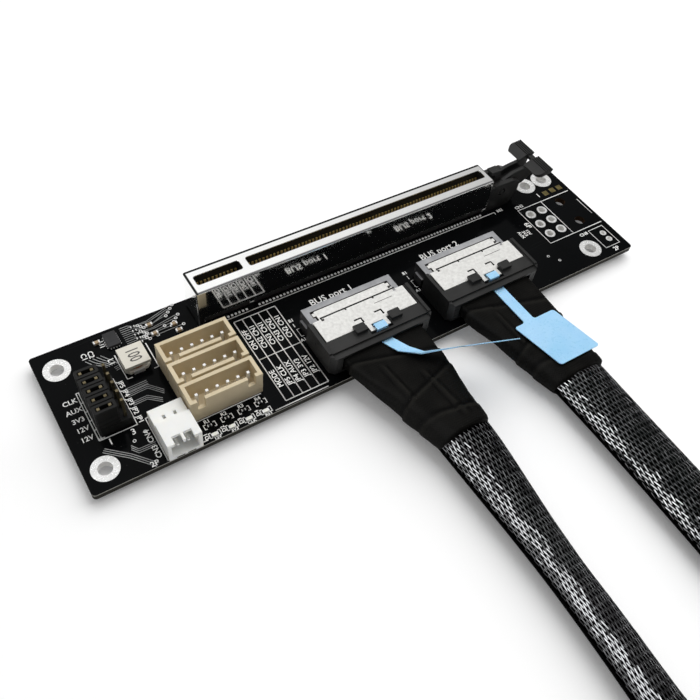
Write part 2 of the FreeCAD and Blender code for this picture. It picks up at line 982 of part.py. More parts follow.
def plug_latch():
    half = latch_width / 2
    s = latch_sheet
    z0, z1 = latch_rise, latch_rise + s
    root = tongue_root + s
    plate = block(-half, half, -latch_length, 0, z0, z1)
    t = tongue_width / 2
    step = [
        (0, z0),
        (tongue_root, z0),
        (tongue_root, tongue_rise),
        (tongue_tip, tongue_rise),
        (tongue_tip, tongue_rise + s),
        (root, tongue_rise + s),
        (root, z1),
        (0, z1),
    ]
    tongue = prism_x(step, -t, t)
    barbs = []
    for side in (-1, 1):
        a, b = side * t, side * (t + barb_reach)
        barbs.append(
            block(
                min(a, b),
                max(a, b),
                tongue_tip - barb_length - barb_setback,
                tongue_tip - barb_setback,
                tongue_rise,
                tongue_rise + s,
            )
        )
    loop = block(
        loop_shift - loop_width / 2,
        loop_shift + loop_width / 2,
        -latch_length - loop_length,
        -latch_length,
        z0,
        z1,
    )
    window = block(
        loop_shift - loop_window / 2,
        loop_shift + loop_window / 2,
        -latch_length - loop_length + loop_bar,
        -latch_length - loop_web,
        z0,
        z1,
    )
    cuts = [window]
    for side in (-1, 1):
        a = side * t
        relief = relief_width / 2
        cuts.append(block(a - relief, a + relief, -relief_deep, 0, z0, z1))
        x, y = slit_place
        length, drop = slit_size
        x0 = side * (x + length / 2) - length / 2
        cuts.append(block(x0, x0 + length, -y, -y + slit_width, z0, z1))
        cuts.append(block(x0 + length - slit_width, x0 + length, -y - drop, -y, z0, z1))
        nick = 2 * side * x - nick_width / 2
        cuts.append(
            block(nick, nick + nick_width, root, root + nick_deep, tongue_rise, tongue_rise + s)
        )
    return fuse(plate, tongue, *barbs, loop).cut(cuts)


# Pull tab, tape wrap and sleeve
def ribbon_outline(path, sheet):
    """Outline of a sheet that follows a path, with mitred bends, on the path's left."""
    turned = []
    for i in range(len(path)):
        normals = []
        for a, b in ((i - 1, i), (i, i + 1)):
            if a >= 0 and b < len(path):
                dx, dy = path[b][0] - path[a][0], path[b][1] - path[a][1]
                size = math.hypot(dx, dy)
                normals.append((-dy / size, dx / size))
        nx = sum(n[0] for n in normals) / len(normals)
        ny = sum(n[1] for n in normals) / len(normals)
        scale = sheet / (nx * nx + ny * ny)
        turned.append((path[i][0] + nx * scale, path[i][1] + ny * scale))
    return list(path) + turned[::-1]


def tab_loop():
    """Path of the film, from inside the latch's loop over its bar and down onto the tape."""
    bar_rear = -latch_length - loop_length
    over = latch_rise + latch_sheet + film_gap
    inside = bar_rear + loop_bar + film_gap
    down = bar_rear - film_gap
    return [
        (inside, latch_rise - film_gap),
        (inside, over),
        (down, over),
        (down, tape_rise + tape_depth),
        (-plug_length, tape_rise + tape_depth),
    ]


def paddle_outline(skew):
    start, end = -paddle_start, -paddle_start - paddle_length
    near, far = skew
    half, strip = paddle_width / 2, strip_width / 2
    return [
        (loop_shift - strip, 0),
        (loop_shift - strip, start),
        (loop_shift + near - half, start),
        (loop_shift + far - half, end),
        (loop_shift + far + half, end),
        (loop_shift + near + half, start),
        (loop_shift + strip, start),
        (loop_shift + strip, 0),
    ]


def flat_pull_tab(stations, skew):
    """Tab whose film lies along the top of the tape."""
    lay = [(y, high + film_gap) for _, _, y, _, high in stations[2:]]
    outline = ribbon_outline(tab_loop() + lay, -film_sheet)
    sheet = prism_x(outline, -plug_width / 2, plug_width / 2)
    tallest = max(z for _, z in outline) + 1
    return sheet.common(prism_z(paddle_outline(skew), 0, tallest))


def film_section(middle, across, normal):
    half = across * 0.5
    rise = normal * (film_sheet / 2)
    corners = [middle - half - rise, middle + half - rise, middle + half + rise, middle - half + rise]
    return closed_wire(corners)


def turned_pull_tab():
    """Tab whose film rises off the tape, turns to the right and twists on edge."""
    start_z = tape_rise + tape_depth + film_sheet / 2
    root = -plug_length
    loop = prism_x(
        ribbon_outline(tab_loop(), -film_sheet),
        loop_shift - strip_width / 2,
        loop_shift + strip_width / 2,
    )
    places = [point(loop_shift, root, start_z)]
    places += [point(loop_shift + out, root - along, start_z + up) for out, along, up in turned_bends]
    flat, turn, lean = point(1, 0, 0), point(0.7, 0.35, -0.6), point(0.20, 0.54, -0.82)
    bends = [
        (places[0], flat, point(0, 0, 1)),
        (places[1], flat, point(0, 0.2, 1)),
        (places[2], turn, point(0.3, 0.6, 0.7)),
        (places[3], lean, point(0.3, 0.78, 0.55)),
    ]
    wires = []
    for middle, across, normal in bends:
        across = FreeCAD.Vector(across).normalize() * strip_width
        wires.append(film_section(middle, across, FreeCAD.Vector(normal).normalize()))
    strip = Part.makeLoft(wires, True, True)
    middle, across, normal = bends[-1]
    wide = FreeCAD.Vector(across).normalize() * turned_paddle_width
    run = point(*turned_paddle_run)
    faced = FreeCAD.Vector(normal).normalize()
    paddle = Part.makeLoft(
        [film_section(middle, wide, faced), film_section(middle + run, wide, faced)], True, True
    )
    return fuse(loop, strip, paddle)


def tape_stations(shift, sleeve, base_z):
    """Sections of the tape in the plug's frame: middle X, half width, Y, bottom and top."""
    width, height = sleeve
    found = []
    for along, blend in tape_shares:
        y = -tape_start + (tape_end + tape_start) * along
        half = (tape_width + (width + 2 * tape_wrap_extra - tape_width) * blend) / 2
        low = tape_rise + (base_z - tape_rise) * blend
        high = tape_rise + tape_depth
        high += (base_z + height + tape_wrap_extra - high) * blend
        found.append((shift * blend, half, y, low, high))
    return found


def tape_wrap(stations):
    wires = []
    for i, (x, half, y, low, high) in enumerate(stations):
        blend = i / (len(stations) - 1)
        share = tape_corner_first + (tape_corner_last - tape_corner_first) * blend
        wires.append(soft_section(x, half, y, low, high, share))
    return Part.makeLoft(wires, True, True)


def tangent_route(points):
    """Straight runs joined by tangent arcs, and the smallest arc radius."""
    edges = []
    radii = []
    start = points[0]
    for before, corner, after in zip(points, points[1:], points[2:]):
        inward = (corner - before).normalize()
        outward = (after - corner).normalize()
        half_turn = inward.getAngle(outward) / 2
        setback = 0.45 * min((corner - before).Length, (after - corner).Length)
        radius = setback / math.tan(half_turn)
        radii.append(radius)
        first, last = corner - inward * setback, corner + outward * setback
        bisector = (outward - inward).normalize()
        middle = corner + bisector * (radius / math.cos(half_turn) - radius)
        edges.append(Part.LineSegment(start, first).toShape())
        edges.append(Part.Arc(first, middle, last).toShape())
        start = last
    edges.append(Part.LineSegment(start, points[-1]).toShape())
    return Part.Wire(edges), min(radii)


def sleeve(cable):
    width, height = sleeve_sizes[cable]
    z = floor_z + height / 2
    points = [point(x, y, z) for x, y in routes[cable]]
    route, radius = tangent_route(points)
    x, y = routes[cable][0]
    turns = [2 * math.pi * i / sleeve_sides for i in range(sleeve_sides)]
    section = closed_wire(
        [point(x + width / 2 * math.cos(a), y, z + height / 2 * math.sin(a)) for a in turns]
    )
    shell = Part.BRepOffsetAPI.MakePipeShell(route)
    shell.setBiNormalMode(point(0, 0, 1))
    shell.add(section)
    shell.build()
    shell.makeSolid()
    solid = shell.shape()
    expected = Part.Face(section).Area * route.Length
    print(f"sleeve {cable + 1}: arcs over {radius:.0f}, length {route.Length:.1f}")
    print(f"sleeve {cable + 1}: volume over section times length {solid.Volume / expected:.3f}")
    return solid


def place_near(shape, x):
    moved = shape.copy()
    moved.translate(point(x, plug_face, top + plug_lift))
    return moved


def place_far(shape, cable):
    x, y = routes[cable][-1]
    moved = shape.copy()
    moved.rotate(point(0, 0, 0), point(0, 0, 1), 180)
    moved.translate(point(x, y + tape_end, floor_z))
    return moved


def all_nodes():
    nodes = {
        "circuit_board": circuit_board(),
        "mounting_hole_lands": mounting_hole_lands(),
        "slot_housing": slot_housing(),
        "slot_shield": slot_shield(),
        "slot_latch": slot_latch(),
        "slot_contacts_front": slot_contacts(-1),
        "slot_contacts_back": slot_contacts(1),
        "side_header": side_header(),
        "side_header_pins": side_header_pins(),
        "jumper_header": jumper_header(),
        "jumper_pins": jumper_pins(),
        "inductor_core": inductor_core(),
        "inductor_winding": inductor_winding(),
        "inductor_terminals": inductor_terminals(),
        "control_chip": control_chip(),
        "control_chip_leads": control_chip_leads(),
        "chip_resistors": chip_resistors(),
        "chip_capacitors": chip_capacitors(),
        "chip_terminals": chip_terminals(),
        "indicator_lights": indicator_lights(),
    }
    for row in range(header_count):
        nodes[f"power_header_{row + 1}"] = power_header(row)
        nodes[f"power_header_pins_{row + 1}"] = power_header_pins(row)
    for row in range(jumper_rows):
        nodes[f"jumper_cap_{row + 1}"] = jumper_cap(row)
    housing, card, latch = plug_housing(), card_blank(), plug_latch()
    for cable, x in enumerate(port_middles):
        name = cable + 1
        nodes[f"cable_socket_{name}"] = cable_socket(x)
        nodes[f"socket_contacts_{name}"] = socket_contacts(x)
        near_base = floor_z - top - plug_lift
        near = tape_stations(routes[cable][0][0] - x, sleeve_sizes[cable], near_base)
        far = tape_stations(0, sleeve_sizes[cable], 0)
        near_tab = turned_pull_tab() if cable == 0 else flat_pull_tab(near, near_skew)
        near_shapes = {
            "plug_housing": housing,
            "paddle_card": card,
            "plug_latch": latch,
            "pull_tab": near_tab,
            "tape_wrap": tape_wrap(near),
        }
        far_shapes = dict(near_shapes)
        far_shapes["pull_tab"] = flat_pull_tab(far, far_skew)
        far_shapes["tape_wrap"] = tape_wrap(far)
        for kind in near_shapes:
            nodes[f"{kind}_{name}"] = place_near(near_shapes[kind], x)
            nodes[f"far_{kind}_{name}"] = place_far(far_shapes[kind], cable)
        nodes[f"cable_sleeve_{name}"] = sleeve(cable)
    return nodes


os.makedirs("parts", exist_ok=True)
for name, shape in all_nodes().items():
    if not shape.isValid():
        print("not valid:", name)
    shape.exportStep(f"parts/{name}.step")
    print(name, len(shape.Solids), round(shape.Volume, 2))
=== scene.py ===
import bpy
import json
import math
import numpy as np
from mathutils import Matrix, Vector, noise


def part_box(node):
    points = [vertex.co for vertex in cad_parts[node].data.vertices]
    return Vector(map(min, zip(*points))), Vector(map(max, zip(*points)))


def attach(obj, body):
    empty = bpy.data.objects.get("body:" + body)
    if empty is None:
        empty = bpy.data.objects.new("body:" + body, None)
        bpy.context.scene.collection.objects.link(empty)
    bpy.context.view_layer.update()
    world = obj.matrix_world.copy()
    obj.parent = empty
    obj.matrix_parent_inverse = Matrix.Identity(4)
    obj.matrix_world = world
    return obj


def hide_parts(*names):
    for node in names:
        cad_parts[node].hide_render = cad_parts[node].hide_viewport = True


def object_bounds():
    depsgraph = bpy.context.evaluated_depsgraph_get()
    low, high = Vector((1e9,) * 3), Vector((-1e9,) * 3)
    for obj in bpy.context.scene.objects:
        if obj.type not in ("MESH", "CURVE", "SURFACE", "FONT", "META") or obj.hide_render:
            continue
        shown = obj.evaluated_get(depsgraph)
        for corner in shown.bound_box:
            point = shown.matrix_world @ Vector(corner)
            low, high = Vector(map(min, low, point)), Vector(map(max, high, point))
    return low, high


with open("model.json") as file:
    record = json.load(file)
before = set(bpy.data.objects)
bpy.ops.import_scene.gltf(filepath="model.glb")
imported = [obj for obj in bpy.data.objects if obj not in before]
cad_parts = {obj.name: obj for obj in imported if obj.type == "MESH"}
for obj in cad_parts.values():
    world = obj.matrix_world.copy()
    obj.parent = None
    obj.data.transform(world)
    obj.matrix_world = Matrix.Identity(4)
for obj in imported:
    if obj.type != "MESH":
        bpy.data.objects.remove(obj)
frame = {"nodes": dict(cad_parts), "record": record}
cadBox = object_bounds()
nodes = frame["nodes"]
mm = 0.001
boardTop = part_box("circuit_board")[1].z
floorLevel = cadBox[0].z
print("frame loaded:", len(nodes), "nodes")


def deselectAll():
    for thing in list(bpy.context.selected_objects):
        thing.select_set(False)


def makeActive(*pieces):
    deselectAll()
    for piece in pieces:
        piece.select_set(True)
    bpy.context.view_layer.objects.active = pieces[0]


def allEnds(kind):
    # a node of each plug: near 1 and 2, far 1 and 2
    return [f"{end}{kind}_{number}" for end in ("", "far_") for number in (1, 2)]


def newObject(name, data):
    made = bpy.data.objects.new(name, data)
    bpy.context.scene.collection.objects.link(made)
    return made


def isSocket(value):
    return isinstance(value, bpy.types.NodeSocket)


def setInputs(made, inputs):
    # sockets are linked, plain values are set on the input itself
    for key, value in inputs.items():
        if isSocket(value):
            made.id_data.links.new(value, made.inputs[key])
        else:
            made.inputs[key].default_value = value


def addNode(tree, kind, inputs=None, **settings):
    made = tree.nodes.new("ShaderNode" + kind)
    for key, value in settings.items():
        setattr(made, key, value)
    setInputs(made, inputs or {})
    return made


def remap(value, low, high, toLow=0.0, toHigh=1.0):
    inputs = {0: value, 1: low, 2: high, 3: toLow, 4: toHigh}
    return addNode(value.id_data, "MapRange", inputs).outputs[0]


def calculate(operation, first, second=0.0, clamp=False):
    tree = next(value.id_data for value in (first, second) if isSocket(value))
    return addNode(tree, "Math", {0: first, 1: second}, operation=operation, use_clamp=clamp).outputs[0]


def coordinate(tree, kind="Object"):
    return addNode(tree, "TexCoord").outputs[kind]


def cloudNoise(place, scale, detail=2.0, roughness=0.5):
    inputs = {"Vector": place, "Scale": scale, "Detail": detail, "Roughness": roughness}
    return addNode(place.id_data, "TexNoise", inputs).outputs["Fac"]


def times(first, second):
    return calculate("MULTIPLY", first, second)


def newFinish(name):
    finish = bpy.data.materials.new(name)
    finish.use_nodes = True
    return finish


# white table under a bright patch of sky, one soft lamp from the right that fills,
# and a tall card on the left that only shows in gloss
stage = {
    "white": (1.0, 1.0, 1.0, 1.0),
    "floorSide": 6.0,
    "floorDrop": 0.00002,
    "floorColour": (0.9, 0.9, 0.9, 1.0),
    "floorRough": 0.9,
    "floorLift": 0.13,
    "skyToward": (0.0, 0.72, 0.69),
    "skyReach": (0.66, 0.95),
    "skyStrength": (0.17, 1.12),
    "lens": 40.06,
    "sensor": 36.0,
    "nearest": 0.01,
    "cameraPlace": (-0.07986, -0.10029, 0.14956),
    "cameraAim": (-0.00809, -0.01233, 0.0016),
    "cameraRoll": 8.716,
}
lamps = {
    "broadLamp": {
        "place": (0.66, 0.24, 0.93), "aim": (0.0, -0.03, 0.0), "sides": (1.5, 1.5),
        "power": 16.5, "glints": False, "fill": True,
    },
    "panelLamp": {
        "place": (-0.76, -0.10, 0.60), "aim": (0.0, -0.05, 0.0), "sides": (0.9, 1.15),
        "power": 13.5, "glints": True, "fill": False,
    },
}


def makeFloor():
    deselectAll()
    bpy.ops.mesh.primitive_plane_add(size=stage["floorSide"], location=(0, 0, floorLevel - stage["floorDrop"]))
    floor = bpy.context.object
    floor.name = "paleFloor"
    finish = newFinish("paleFloor")
    path = addNode(finish.node_tree, "LightPath").outputs
    seen = calculate("MAXIMUM", path["Is Camera Ray"], path["Is Glossy Ray"])
    setInputs(finish.node_tree.nodes["Principled BSDF"], {
        "Base Color": stage["floorColour"],
        "Roughness": stage["floorRough"],
        "Emission Color": stage["white"],
        "Emission Strength": times(seen, stage["floorLift"]),
    })
    floor.data.materials.append(finish)


def makeWorld():
    world = bpy.data.worlds.new("studioWorld")
    bpy.context.scene.world = world
    world.use_nodes = True
    tree = world.node_tree
    place = coordinate(tree, "Generated")
    toward = addNode(tree, "VectorMath", {0: place, 1: stage["skyToward"]}, operation="DOT_PRODUCT")
    fade = remap(toward.outputs["Value"], *stage["skyReach"], *stage["skyStrength"])
    setInputs(tree.nodes["Background"], {"Color": stage["white"], "Strength": fade})


def makeLamp(name, facts):
    lamp = bpy.data.lights.new(name, "AREA")
    lamp.shape = "RECTANGLE"
    lamp.size, lamp.size_y = facts["sides"]
    lamp.energy = facts["power"]
    holder = newObject(name, lamp)
    holder.visible_diffuse = facts["fill"]
    holder.visible_glossy = facts["glints"]
    holder.location = facts["place"]
    toward = Vector(facts["aim"]) - Vector(facts["place"])
    holder.rotation_euler = toward.to_track_quat("-Z", "Y").to_euler()


def makeCamera():
    data = bpy.data.cameras.new("photoCamera")
    data.lens = stage["lens"]
    data.sensor_width = stage["sensor"]
    data.clip_start = stage["nearest"]
    holder = newObject("photoCamera", data)
    place, aim = Vector(stage["cameraPlace"]), Vector(stage["cameraAim"])
    turn = (aim - place).to_track_quat("-Z", "Y").to_matrix().to_4x4()
    roll = Matrix.Rotation(math.radians(stage["cameraRoll"]), 4, "Z")
    holder.matrix_world = Matrix.Translation(place) @ turn @ roll
    bpy.context.scene.camera = holder


bpy.context.scene.view_settings.view_transform = "Standard"
makeFloor()
makeWorld()
for lampName, lampFacts in lamps.items():
    makeLamp(lampName, lampFacts)
makeCamera()
print("stage ready")


def newGroup(name, inputs, outputs):
    tree = bpy.data.node_groups.new(name, "ShaderNodeTree")
    for label, value in inputs.items():
        made = tree.interface.new_socket(label, in_out="INPUT", socket_type="NodeSocketFloat")
        made.default_value = value
    for label in outputs:
        tree.interface.new_socket(label, in_out="OUTPUT", socket_type="NodeSocketFloat")
    return tree, tree.nodes.new("NodeGroupInput").outputs, tree.nodes.new("NodeGroupOutput")


# output: size input, detail and roughness of its noise
grainNoise = {"Height": ("Grains", 3.0, 0.6), "Tint": ("Clouds", 4.0, 0.55)}


def makeGrainGroup():
    # fine mould texture and slow clouds of tone
    tree, given, out = newGroup("mouldGrain", {"Grains": 9000.0, "Clouds": 120.0}, ["Height", "Tint"])
    place = coordinate(tree)
    for label, (size, *rest) in grainNoise.items():
        setInputs(out, {label: cloudNoise(place, given[size], *rest)})
    return tree


handling = {
    "turn": (0.1, 0.2, 0.6),
    "stretch": (0.05, 1.0, 1.0),
    "scratchBand": (0.62, 0.7),
    "speck": 0.1,
    "patches": 150.0,
    "patchBand": (0.58, 0.66),
}


def makeMarksGroup():
    # thin handling scratches and specks of dust
    tree, given, out = newGroup("handlingMarks", {"Amount": 0.3, "Size": 900.0}, ["Scratch", "Dust"])
    place = coordinate(tree)
    drawn = addNode(tree, "Mapping", {
        "Vector": place, "Rotation": handling["turn"], "Scale": handling["stretch"]}).outputs[0]
    scratch = remap(cloudNoise(drawn, given["Size"]), *handling["scratchBand"])
    cells = addNode(tree, "TexVoronoi", {"Vector": place, "Scale": given["Size"]})
    specks = remap(cells.outputs["Distance"], 0.0, handling["speck"], 1.0, 0.0)
    some = remap(cloudNoise(place, handling["patches"]), *handling["patchBand"])
    dust = times(specks, some)
    setInputs(out, {"Scratch": times(scratch, given["Amount"]), "Dust": times(dust, given["Amount"])})
    return tree


weaving = {"wobble": 700.0, "drift": 1.6}


def makeWeaveGroup():
    # plain cloth weave, over and under on all three planes
    tree, given, out = newGroup("clothWeave", {"Threads": 2600.0}, ["Height"])
    place = coordinate(tree)
    drift = times(cloudNoise(place, weaving["wobble"]), weaving["drift"])
    split = addNode(tree, "SeparateXYZ", {0: place}).outputs
    waves = []
    for axis in ("X", "Y", "Z"):
        run = times(split[axis], given["Threads"])
        waves.append(calculate("SINE", calculate("ADD", run, drift)))
    crossings = [times(waves[i], waves[i + 1]) for i in (0, 1)]
    both = calculate("ADD", *crossings)
    setInputs(out, {"Height": remap(both, -1.0, 1.0)})
    return tree


grainGroup = makeGrainGroup()
marksGroup = makeMarksGroup()
weaveGroup = makeWeaveGroup()


def useGroup(tree, group, **values):
    made = tree.nodes.new("ShaderNodeGroup")
    made.node_tree = group
    setInputs(made, values)
    return made.outputs


def newGrainy(name, grains, clouds, marks=0.0):
    finish = newFinish(name)
    grain = useGroup(finish.node_tree, grainGroup, Grains=grains, Clouds=clouds)
    worn = useGroup(finish.node_tree, marksGroup, Amount=marks) if marks else None
    return finish, grain, worn


def spread(value, low=0.0, high=1.0, band=(0.3, 0.7)):
    # the band that a noise mostly keeps to, stretched
    return remap(value, *band, low, high)


def mixColour(share, first, second):
    pair = [value if isSocket(value) else (*value, 1.0) for value in (first, second)]
    inputs = {0: share, 6: pair[0], 7: pair[1]}
    return addNode(share.id_data, "Mix", inputs, data_type="RGBA").outputs[2]


def axes(finish, kind):
    # where a spot lies ("Object") or where it faces ("Normal"), by axis
    place = coordinate(finish.node_tree, kind)
    return addNode(finish.node_tree, "SeparateXYZ", {0: place}).outputs


def attribute(finish, name):
    return addNode(finish.node_tree, "Attribute", attribute_name=name).outputs["Fac"]


def apart(value, middle):
    return calculate("ABSOLUTE", calculate("SUBTRACT", value, middle))


def isNear(value, middle, reach):
    return calculate("LESS_THAN", apart(value, middle), reach)


def complete(finish, looks, height, strength, distance, edge=0.0):
    # the shader's inputs, over fine relief and soft edges
    tree = finish.node_tree
    bump = addNode(tree, "Bump", {"Height": height, "Strength": strength, "Distance": distance})
    if edge:
        setInputs(bump, {"Normal": addNode(tree, "Bevel", {"Radius": edge}, samples=4).outputs[0]})
    setInputs(tree.nodes["Principled BSDF"], {**looks, "Normal": bump.outputs[0]})
    return finish


def grainyFinish(name, dark, light, rough, grains=9000.0, clouds=120.0, marks=0.25, dust=(0.5, 0.49, 0.47),
                 metallic=0.0, specular=0.5, glow=0.0, glowReach=(0.002, 0.0018, 0.0014),
                 relief="Height", bump=0.35, depth=0.00002, edge=0.0001):
    finish, grain, worn = newGrainy(name, grains, clouds, marks)
    colour = mixColour(spread(grain["Tint"]), dark, light)
    base = spread(grain["Height"], *rough)
    return complete(finish, {
        "Base Color": mixColour(worn["Dust"], colour, dust),
        "Roughness": calculate("ADD", base, worn["Scratch"], True),
        "Metallic": metallic,
        "Specular IOR Level": specular,
        "Subsurface Weight": glow,
        "Subsurface Radius": glowReach,
        "Subsurface Scale": 1.0,
    }, grain[relief], bump, depth, edge)


# lengths in metres
mask = {
    "sideFacing": (0.4, 0.6),
    "middle": (0.0035, 0.000475),
    "within": (0.0765, 0.0185),  # walls inside these half sides are those of holes
    "pegX": 0.0749,
    "pegY": (0.00005, 0.00425),
    "pegReach": 0.002,
    "layers": 22000.0,
    # depths below the board's top of the painted highlight band on the cut edges
    "lip": (0.0003, 0.0002),
    "platedMetal": 0.2,
    "sideRough": 0.45,
}


def maskFinish():
    # black mask on the faces, layered glass cloth at the cut edges with a painted highlight along their top, plated
    # hole walls, two bare peg holes
    finish, grain, worn = newGrainy("solderMask", 2200.0, 60.0, 0.35)
    spot, facing = axes(finish, "Object"), axes(finish, "Normal")
    side = remap(calculate("ABSOLUTE", facing["Z"]), *mask["sideFacing"], 1.0, 0.0)
    inner = [isNear(spot[axis], mask["middle"][i], mask["within"][i]) for i, axis in enumerate("XY")]
    within = times(*inner)
    pegMiddle, pegApart = mask["pegY"]
    pegColumn = isNear(spot["X"], mask["pegX"], mask["pegReach"])
    pegRow = isNear(apart(spot["Y"], pegMiddle), pegApart, mask["pegReach"])
    bare = times(pegColumn, pegRow)
    holeWall = times(side, within)
    plated = times(holeWall, calculate("SUBTRACT", 1.0, bare))
    face = mixColour(spread(grain["Tint"]), (0.0016, 0.0019, 0.0022), (0.003, 0.0033, 0.0036))
    dusty = mixColour(worn["Dust"], face, (0.25, 0.25, 0.24))
    layer = calculate("SINE", times(spot["Z"], mask["layers"]))
    cloth = mixColour(remap(layer, -1.0, 1.0), (0.012, 0.011, 0.009), (0.035, 0.033, 0.024))
    # painted highlight: a pale band along the top of the cut edges
    lip = remap(spot["Z"], *(boardTop - down for down in mask["lip"]))
    edge = mixColour(lip, cloth, (0.42, 0.41, 0.37))
    cut = mixColour(side, dusty, mixColour(bare, edge, (0.05, 0.026, 0.012)))
    gloss = calculate("ADD", spread(grain["Height"], 0.08, 0.14), worn["Scratch"], True)
    dull = times(side, mask["sideRough"])
    return complete(finish, {
        "Base Color": mixColour(plated, cut, (0.92, 0.91, 0.89)),
        "Metallic": times(plated, mask["platedMetal"]),
        "Roughness": calculate("MAXIMUM", gloss, dull),
        "Specular IOR Level": 0.04,
    }, grain["Tint"], 0.1, 0.00005)


# lengths in metres, heights above the board
contact = {
    "tip": (0.00055, 0.0001),  # length of the bright tip and its fade
    "foot": (0.00035, 0.0005),
    "spring": (0.0026, 0.0032),
}


def contactFinish():
    # gold springs, legs painted near black as shade, and tinned tips of the feet on the board
    finish, grain, _ = newGrainy("contactGold", 3000.0, 400.0)
    spot = axes(finish, "Object")
    low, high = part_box("slot_housing")
    middle = (low.y + high.y) / 2
    length, fade = contact["tip"]
    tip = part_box("slot_contacts_back")[1].y - middle - length
    beyond = remap(apart(spot["Y"], middle), tip, tip + fade)
    flat = remap(spot["Z"], *(boardTop + up for up in contact["foot"]), 1.0, 0.0)
    foot = times(flat, beyond)
    spring = remap(spot["Z"], *(boardTop + up for up in contact["spring"]))
    tint = spread(grain["Tint"])
    gold = mixColour(tint, (0.56, 0.41, 0.15), (0.72, 0.54, 0.23))
    tin = mixColour(tint, (0.93, 0.93, 0.92), (0.97, 0.97, 0.96))
    # painted shade: the legs between the feet and the springs are near black
    dull = mixColour(spring, (0.03, 0.029, 0.027), gold)
    pale = calculate("ADD", foot, times(spring, 0.5), True)
    return complete(finish, {
        "Base Color": mixColour(foot, dull, tin),
        "Metallic": remap(pale, 0.0, 1.0, 1.0, 0.0),
        "Roughness": spread(grain["Height"], 0.2, 0.36),
    }, grain["Height"], 0.2, 0.00001)


# lengths in metres
shield = {
    "wallFacing": (0.2, 0.7),
    "brushStretch": (1.0, 1.0, 0.12),
    "brushScale": 420.0,
    "brushRough": (0.01, 0.035),
    "bends": [("x", -1, 0.0006), ("x", 1, 0.0006), ("y", 1, 0.001)],  # axis, side and width
    "darkReflectionFade": 0.0002,
    "upper": (0.0005, 0.0003),
}


def shieldFinish():
    # bright plating, brushed walls, painted dark reflection in the tight bends along its outer top edges
    finish, grain, worn = newGrainy("brightShield", 1500.0, 90.0, 0.06)
    low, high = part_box("slot_shield")
    middle, half = (low + high) / 2, (high - low) / 2
    spot, facing = axes(finish, "Object"), axes(finish, "Normal")
    wall = remap(calculate("ABSOLUTE", facing["Z"]), *shield["wallFacing"], 1.0, 0.0)
    tree = finish.node_tree
    place = coordinate(tree)
    drawn = addNode(tree, "Mapping", {"Vector": place, "Scale": shield["brushStretch"]}).outputs[0]
    brushed = cloudNoise(drawn, shield["brushScale"])
    # painted dark reflection along the outer top edges, by axis and side
    bend = 0.0
    for axis, sign, width in shield["bends"]:
        inward = calculate("SUBTRACT", spot[axis.upper()], getattr(middle, axis))
        away = times(inward, sign)
        edge = getattr(half, axis) - width
        bend = calculate("MAXIMUM", bend, remap(away, edge, edge + shield["darkReflectionFade"]))
    upper = remap(spot["Z"], *(high.z - down for down in shield["upper"]))
    dark = times(bend, upper)
    colour = mixColour(spread(grain["Tint"]), (0.82, 0.82, 0.81), (0.89, 0.89, 0.88))
    streaks = times(wall, spread(brushed, *shield["brushRough"]))
    rough = calculate("ADD", spread(grain["Height"], 0.04, 0.09), streaks)
    return complete(finish, {
        "Base Color": mixColour(dark, colour, (0.03, 0.03, 0.03)),
        "Roughness": calculate("ADD", rough, worn["Scratch"], True),
        "Metallic": 1.0,
    }, grain["Tint"], 0.05, 0.00004, 0.0002)


def socketFinish():
    # smooth dark moulding, with painted light on its upward faces
    finish, grain, worn = newGrainy("socketMoulding", 7000.0, 260.0, 0.3)
    # painted light: upward faces much paler than the walls
    top = remap(axes(finish, "Normal")["Z"], 0.8, 0.95)
    tint = spread(grain["Tint"], band=(0.35, 0.65))
    walls = mixColour(tint, (0.012, 0.012, 0.013), (0.02, 0.02, 0.021))
    paintedLight = mixColour(tint, (0.25, 0.254, 0.265), (0.37, 0.375, 0.385))
    colour = mixColour(top, walls, paintedLight)
    return complete(finish, {
        "Base Color": mixColour(worn["Dust"], colour, (0.5, 0.5, 0.48)),
        "Roughness": spread(grain["Height"], 0.3, 0.42),
    }, grain["Height"], 0.25, 0.00002, 0.0001)


def tapeFinish():
    # black cloth tape, fine weave with a dull bloom, painted shade beside its folds and painted highlight on them
    finish, grain, worn = newGrainy("clothTape", 6000.0, 170.0, 0.3)
    weave = useGroup(finish.node_tree, weaveGroup, Threads=11000.0)
    colour = mixColour(spread(grain["Tint"]), (0.0014, 0.0014, 0.0013), (0.0055, 0.0052, 0.0046))
    thread = times(weave["Height"], 0.4)
    woven = mixColour(thread, colour, (0.011, 0.0105, 0.0095))
    nap = times(grain["Height"], 0.7)
    # painted shade and highlight from the tape's attribute: highlight on lap edges and crease ridges, shade beside
    # them
    paintedFoldLight = attribute(finish, "paintedFoldLight")
    paintedLight = mixColour(remap(paintedFoldLight, 0.0, -1.0, 0.0, 0.45), woven, (0.02, 0.019, 0.016))
    paintedShade = mixColour(remap(paintedFoldLight, 0.0, 1.0, 0.0, 0.95), paintedLight, (0.0006, 0.0006, 0.0006))
    return complete(finish, {
        "Base Color": mixColour(worn["Dust"], paintedShade, (0.35, 0.34, 0.32)),
        "Roughness": spread(grain["Height"], 0.5, 0.7),
        "Specular IOR Level": 0.05,
    }, calculate("ADD", weave["Height"], nap), 0.6, 0.00004)


def strandFinish():
    # black monofilament, mirror bright where it passes over and faces up, near black as painted shade where it dips
    # under or faces down
    finish, grain, _ = newGrainy("braidStrand", 5000.0, 500.0)
    crest = attribute(finish, "crest")
    over = remap(crest, 0.62, 0.86)
    worn = remap(grain["Tint"], 0.38, 0.6, 0.6, 1.0)
    paintedBright = times(over, worn)
    return complete(finish, {
        "Base Color": mixColour(paintedBright, (0.0012, 0.0012, 0.0012), (0.24, 0.244, 0.25)),
        "Roughness": spread(grain["Tint"], 0.14, 0.26),
        "Metallic": 1.0,
        "Specular Tint": (0.3, 0.3, 0.3, 1.0),
    }, grain["Height"], 0.15, 0.00002)


